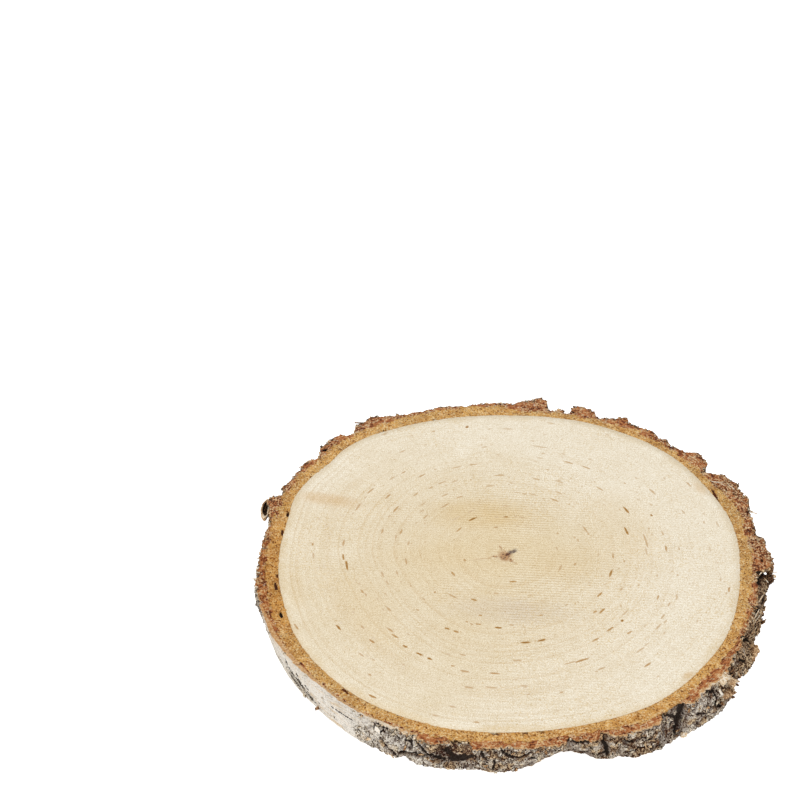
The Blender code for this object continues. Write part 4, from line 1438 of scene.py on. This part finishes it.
def flake_material(look):
    """Loose bark: grey, brown, cork or paper by the piece's own tone."""
    f = bark_finish("bark_flake")
    fine = f.noise(f.place, 1700, 2, 0.7)
    middle = f.noise(f.place, 650, 3, 0.65)
    tone = f.add(f.field("tone"), f.add(f.around(fine, 2.4), f.around(middle, 1.6)))
    grey = f.ramp(tone, (0.1, look.black), (0.35, look.grey_dark), (0.55, look.grey), (0.8, look.grey_light))
    brown = f.ramp(tone, (0.1, look.black), (0.40, look.brown), (0.72, look.tan), (0.95, look.cream))
    colour = f.mix(f.between(f.field("brown"), 0.3, 0.7), grey, brown)
    sheet = f.ramp(tone, (0.15, look.brown), (0.4, look.tan), (0.65, look.cream), (1.0, look.paper))
    colour = f.mix(f.field("paper"), colour, sheet)
    colour = f.mix(f.field("dark"), colour, look.black)
    return f.paint(colour, f.bump(f.add(fine, middle), 0.0004, 0.8))


def side_frame(angle, reach, height):
    """A spot in mm about the pith, with the directions outwards, along the girth and up."""
    around = math.radians(angle)
    out = np.array([math.cos(around), math.sin(around), 0.0])
    along = np.array([-math.sin(around), math.cos(around), 0.0])
    radius = smooth_at(WOOD_EDGE, angle % 360) + reach
    return radius * out + np.array([0, 0, height]), out, along, np.array([0, 0, 1.0])


def lump_points(ball, spot, out, along, up):
    """Points in mm of a ball, given by its points outwards, along the girth and up, set at a spot."""
    return spot + ball[:, :1] * out + ball[:, 1:2] * along + ball[:, 2:] * up


def peeled(shape, spot, out, across, forward, length, width, lift, curl, seed):
    """Points of a sheet that starts on the bark and peels off it, from its flat points from -1 to 1."""
    run = (shape[:, 0] + 1) / 2
    turned = math.radians(lift) + math.radians(curl) * run
    mean = math.radians(lift) + math.radians(curl) * run / 2
    path = length * run[:, None] * (np.cos(mean)[:, None] * forward + np.sin(mean)[:, None] * out)
    normal = np.cos(turned)[:, None] * out - np.sin(turned)[:, None] * forward
    ragged = np.array([noise.noise(Vector((seed * 3.7 + 1.9 * x, 2.3 * y, 0.5))) for x, y, _ in shape])
    side = width / 2 * (shape[:, 1] * (1 + 0.5 * ragged))
    return spot + path * (1 + 0.25 * ragged[:, None]) + side[:, None] * across + shape[:, 2:3] * normal


def drawn_flake(draw):
    """A random loose flake in the form of FLAKES, or nothing where none lies."""
    angle = draw.uniform(0, 360)
    height = draw.uniform(0.8, 15.2)
    broken_foot = 275 < angle < 292 and height < 6
    hollow = 257 < angle < 267
    if draw.uniform() > straight(ROUGH, angle) or broken_foot or hollow:
        return None
    reach = reach_at(angle, 1 - height / THICK)
    brown_rim = angle < 180 and height > 11
    grey = straight(GREY, angle) * (0.4 if brown_rim else 1.0)
    brown = 0.0 if draw.uniform() < grey else 1.0
    paper = 1.0 if draw.uniform() < 0.12 else 0.0
    return (
        angle, reach - 0.7, height, draw.uniform(1.4, 3.6), draw.uniform(0.8, 2.4),
        draw.uniform(-180, 180), draw.uniform(5, 45), draw.uniform(-30, 40),
        draw.uniform(0.3, 0.8), brown, paper, draw.uniform(0, 99),
    )


class SLICE_OT_flakes(bpy.types.Operator):
    """Loose scales, peeled paper and fibres on the bark"""

    bl_idname = "slice.flakes"
    bl_label = "Bark flakes"

    def execute(self, context):
        look = context.scene.slice_bark
        add = bpy.ops.mesh.primitive_grid_add
        pattern = primitive("flake_pattern", add, x_subdivisions=4, y_subdivisions=3, size=2)
        thicken(pattern, 0.28, 0)
        shape = points_of(pattern)
        draw = np.random.default_rng(17)
        wanted = [(*flake, draw.uniform(0, 99)) for flake in FLAKES]
        while len(wanted) < FLAKE_COUNT:
            flake = drawn_flake(draw)
            if flake:
                wanted.append(flake)
        places = []
        values = []
        for angle, reach, height, length, width, turn, lift, curl, tone, brown, paper, seed in wanted:
            spot, out, along, up = side_frame(angle, reach, height)
            swing = math.radians(turn)
            forward = math.cos(swing) * along + math.sin(swing) * up
            across = math.cos(swing) * up - math.sin(swing) * along
            points = peeled(shape, spot, out, across, forward, length, width, lift, curl, seed)
            points[:, 2] = np.clip(points[:, 2], 0.05, THICK - 0.1)
            places.append(points)
            values.append({"tone": tone, "brown": brown, "paper": paper, "dark": 0.0})
        piece = assemble("bark_flakes", pattern, places, values)
        own(piece, flake_material(look))
        return {"FINISHED"}


def ball_pattern(subdivisions):
    """A unit ball to be copied, and its points."""
    add = bpy.ops.mesh.primitive_ico_sphere_add
    pattern = primitive("ball_pattern", add, subdivisions=subdivisions, radius=1)
    return pattern, points_of(pattern)


class SLICE_OT_lumps(bpy.types.Operator):
    """Round lumps of cork on the side"""

    bl_idname = "slice.lumps"
    bl_label = "Bark lumps"

    def execute(self, context):
        look = context.scene.slice_bark
        pattern, shape = ball_pattern(4)
        places = []
        values = []
        for angle, reach, height, wide, long, high, tone, brown, paper, dark in LUMPS:
            spot, out, along, up = side_frame(angle, reach, height)
            ragged = 1 + 0.4 * drift(shape * 3 + 10 * angle, 1.6, 3)[:, None]
            ball = shape * ragged * np.array([wide, long, high])
            points = lump_points(ball, spot, out, along, up)
            points[:, 2] = np.clip(points[:, 2], 0.05, THICK - 0.15)
            places.append(points)
            values.append({"tone": tone, "brown": brown, "paper": paper, "dark": dark})
        piece = assemble("bark_lumps", pattern, places, values)
        own(piece, flake_material(look))
        return {"FINISHED"}


class SLICE_OT_crumbs(bpy.types.Operator):
    """Crumbs of cork and bark along the broken rim"""

    bl_idname = "slice.crumbs"
    bl_label = "Rim crumbs"

    def execute(self, context):
        look = context.scene.slice_bark
        pattern, shape = ball_pattern(1)
        draw = np.random.default_rng(29)
        places = []
        values = []
        while len(places) < CRUMB_COUNT:
            angle = draw.uniform(0, 360)
            smooth_bark = draw.uniform() > straight(ROUGH, angle)
            if smooth_bark or 262 < angle < 322 and draw.uniform() < 0.7:
                continue
            depth = 0.03 + 0.10 * draw.uniform() ** 2
            reach = reach_at(angle, depth)
            sunk = draw.uniform(0.0, 1.0)
            spot, out, along, up = side_frame(angle, reach - sunk, THICK * (1 - depth))
            sizes = draw.uniform(0.25, 0.85, 3)
            ragged = 1 + 0.35 * draw.standard_normal(len(shape))
            ball = shape * ragged[:, None] * sizes
            points = lump_points(ball, spot, out, 1.3 * along, up)
            points[:, 2] = np.minimum(points[:, 2], THICK - 0.12)
            places.append(points)
            grey = straight(GREY, angle)
            values.append({
                "tone": draw.uniform(0.35, 0.75),
                "brown": 1.0 if draw.uniform() > 0.8 * grey else 0.0,
                "paper": 0.9 if draw.uniform() < 0.1 + 0.3 * grey else 0.0,
                "dark": 0.0,
            })
        piece = assemble("rim_crumbs", pattern, places, values)
        own(piece, flake_material(look))
        return {"FINISHED"}


def curl_points(shape):
    """Points in mm of the bark curl from a hollow cylinder's points, and its values."""
    radial = np.hypot(shape[:, 0], shape[:, 1])
    turn = np.arctan2(shape[:, 1], shape[:, 0])
    spot, out, along, _ = side_frame(*CURL_PLACE)
    wave = np.array([
        noise.noise(Vector((1.3 * math.cos(angle), 1.3 * math.sin(angle), 0.25 * up)))
        for angle, up in zip(turn, shape[:, 2])
    ])
    wide = 1.0 + 0.35 * wave
    share = (shape[:, 2] + 1) / 2
    top = THICK - 0.5 - 0.8 * np.abs(wave) - 1.6 * (np.sin(turn) < -0.7)
    inside = radial < 0.9
    inset = np.where(inside, 1.0 + 0.3 * wave, 0.0)
    closed = np.clip(share / 0.3, 0.02, 1)
    half_out, half_along = CURL_HALF
    points = (
        spot + (np.cos(turn) * (half_out * wide - inset) * closed)[:, None] * out
        + (np.sin(turn) * (half_along * wide - inset) * closed)[:, None] * along
        + 0.10 * (np.sin(turn) * half_along * wide)[:, None] ** 2 * -0.35 * out
    )
    points[:, 2] = CURL_FOOT + (top - CURL_FOOT) * share
    at_top = share > 0.9
    return points, {
        "tone": np.where(inside, 0.24, 0.56) + 0.25 * wave + 0.25 * at_top,
        "brown": 1.0,
        "paper": np.where(at_top, 0.5, np.where(inside, 0.0, 0.15)),
        "dark": np.where(inside, 0.3, 0.0),
    }


class SLICE_OT_curl(bpy.types.Operator):
    """A curl of peeled bark, rolled into a long loop beside the rim"""

    bl_idname = "slice.curl"
    bl_label = "Bark curl"

    def execute(self, context):
        look = context.scene.slice_bark
        add = bpy.ops.mesh.primitive_cylinder_add
        pattern = primitive("curl_pattern", add, vertices=56, radius=1, depth=2, end_fill_type="NOTHING")
        with editing():
            bpy.ops.mesh.subdivide(number_cuts=7)
        thicken(pattern, 0.26, -1)
        points, fields = curl_points(points_of(pattern))
        piece = assemble("bark_curl", pattern, [points], [fields])
        own(piece, flake_material(look))
        return {"FINISHED"}


class SLICE_OT_stage(bpy.types.Operator):
    """Pale floor, soft light and the camera"""

    bl_idname = "slice.stage"
    bl_label = "Stage"

    def execute(self, context):
        look = context.scene.slice_stage
        bpy.ops.object.select_all(action="DESELECT")
        bpy.ops.mesh.primitive_plane_add(size=look.floor_size, location=(0, 0, LOWER_FACE - 0.00002))
        floor = context.object
        floor.name = "floor"
        f = Finish("plain_floor", 0.9)
        colour = f.node("ShaderNodeRGB").outputs[0]
        colour.default_value = (*look.floor_colour, 1)
        f.shader.inputs["Emission Color"].default_value = (1, 1, 1, 1)
        f.shader.inputs["Emission Strength"].default_value = look.floor_glow
        floor.data.materials.append(f.paint(colour))
        world = bpy.data.worlds.new("soft_studio")
        context.scene.world = world
        world.use_nodes = True
        world.node_tree.nodes["Background"].inputs["Color"].default_value = (1, 1, 1, 1)
        world.node_tree.nodes["Background"].inputs["Strength"].default_value = 1.0
        for name, place, size, power in (
            ("key", (-0.5, 0.0, 1.6), 1.2, 11.0),
            ("fill", (0.2, -1.7, 0.9), 1.5, 12.0),
        ):
            bpy.ops.object.light_add(type="AREA", location=place)
            lamp = context.object
            lamp.name = name
            lamp.data.size = size
            lamp.data.energy = power
            lamp.rotation_euler = (-Vector(place)).to_track_quat("-Z", "Y").to_euler()
        bpy.ops.object.camera_add(location=Vector(look.eye) + Vector((*PITH, 0)))
        camera = context.object
        camera.name = "camera"
        aim = Vector(look.aim) + Vector((*PITH, 0))
        camera.rotation_euler = (aim - camera.location).to_track_quat("-Z", "Y").to_euler()
        camera.data.lens = look.lens
        camera.data.sensor_width = 36
        camera.data.clip_start = 0.01
        context.scene.camera = camera
        context.scene.view_settings.view_transform = "Standard"
        return {"FINISHED"}


class SLICE_PT_panel(bpy.types.Panel):
    """Lists the slice's pieces"""

    bl_idname = "SLICE_PT_panel"
    bl_label = "Birch slice"
    bl_space_type = "VIEW_3D"
    bl_region_type = "UI"
    bl_category = "Birch slice"

    def draw(self, context):
        for maker in MAKERS:
            self.layout.operator(maker.bl_idname)
        for group in SETTINGS:
            box = self.layout.box()
            for name in SETTINGS[group].__annotations__:
                box.prop(getattr(context.scene, group), name)


MAKERS = (
    SLICE_OT_wood, SLICE_OT_flecks, SLICE_OT_inner_bark, SLICE_OT_outer_bark, SLICE_OT_flakes,
    SLICE_OT_lumps, SLICE_OT_crumbs, SLICE_OT_curl, SLICE_OT_stage,
)
SETTINGS = {
    "slice_wood": SliceWoodSettings,
    "slice_bark": SliceBarkSettings,
    "slice_stage": SliceStageSettings,
}


def register():
    for group in (*SETTINGS.values(), *MAKERS, SLICE_PT_panel):
        bpy.utils.register_class(group)
    for name, group in SETTINGS.items():
        setattr(bpy.types.Scene, name, bpy.props.PointerProperty(type=group))


def unregister():
    for name in SETTINGS:
        delattr(bpy.types.Scene, name)
    for group in (SLICE_PT_panel, *reversed(MAKERS), *reversed(SETTINGS.values())):
        bpy.utils.unregister_class(group)


def main():
    register()
    bpy.ops.slice.wood()
    bpy.ops.slice.flecks()
    bpy.ops.slice.inner_bark()
    bpy.ops.slice.outer_bark()
    bpy.ops.slice.flakes()
    bpy.ops.slice.lumps()
    bpy.ops.slice.crumbs()
    bpy.ops.slice.curl()
    bpy.ops.slice.stage()


if __name__ == "__main__":
    main()
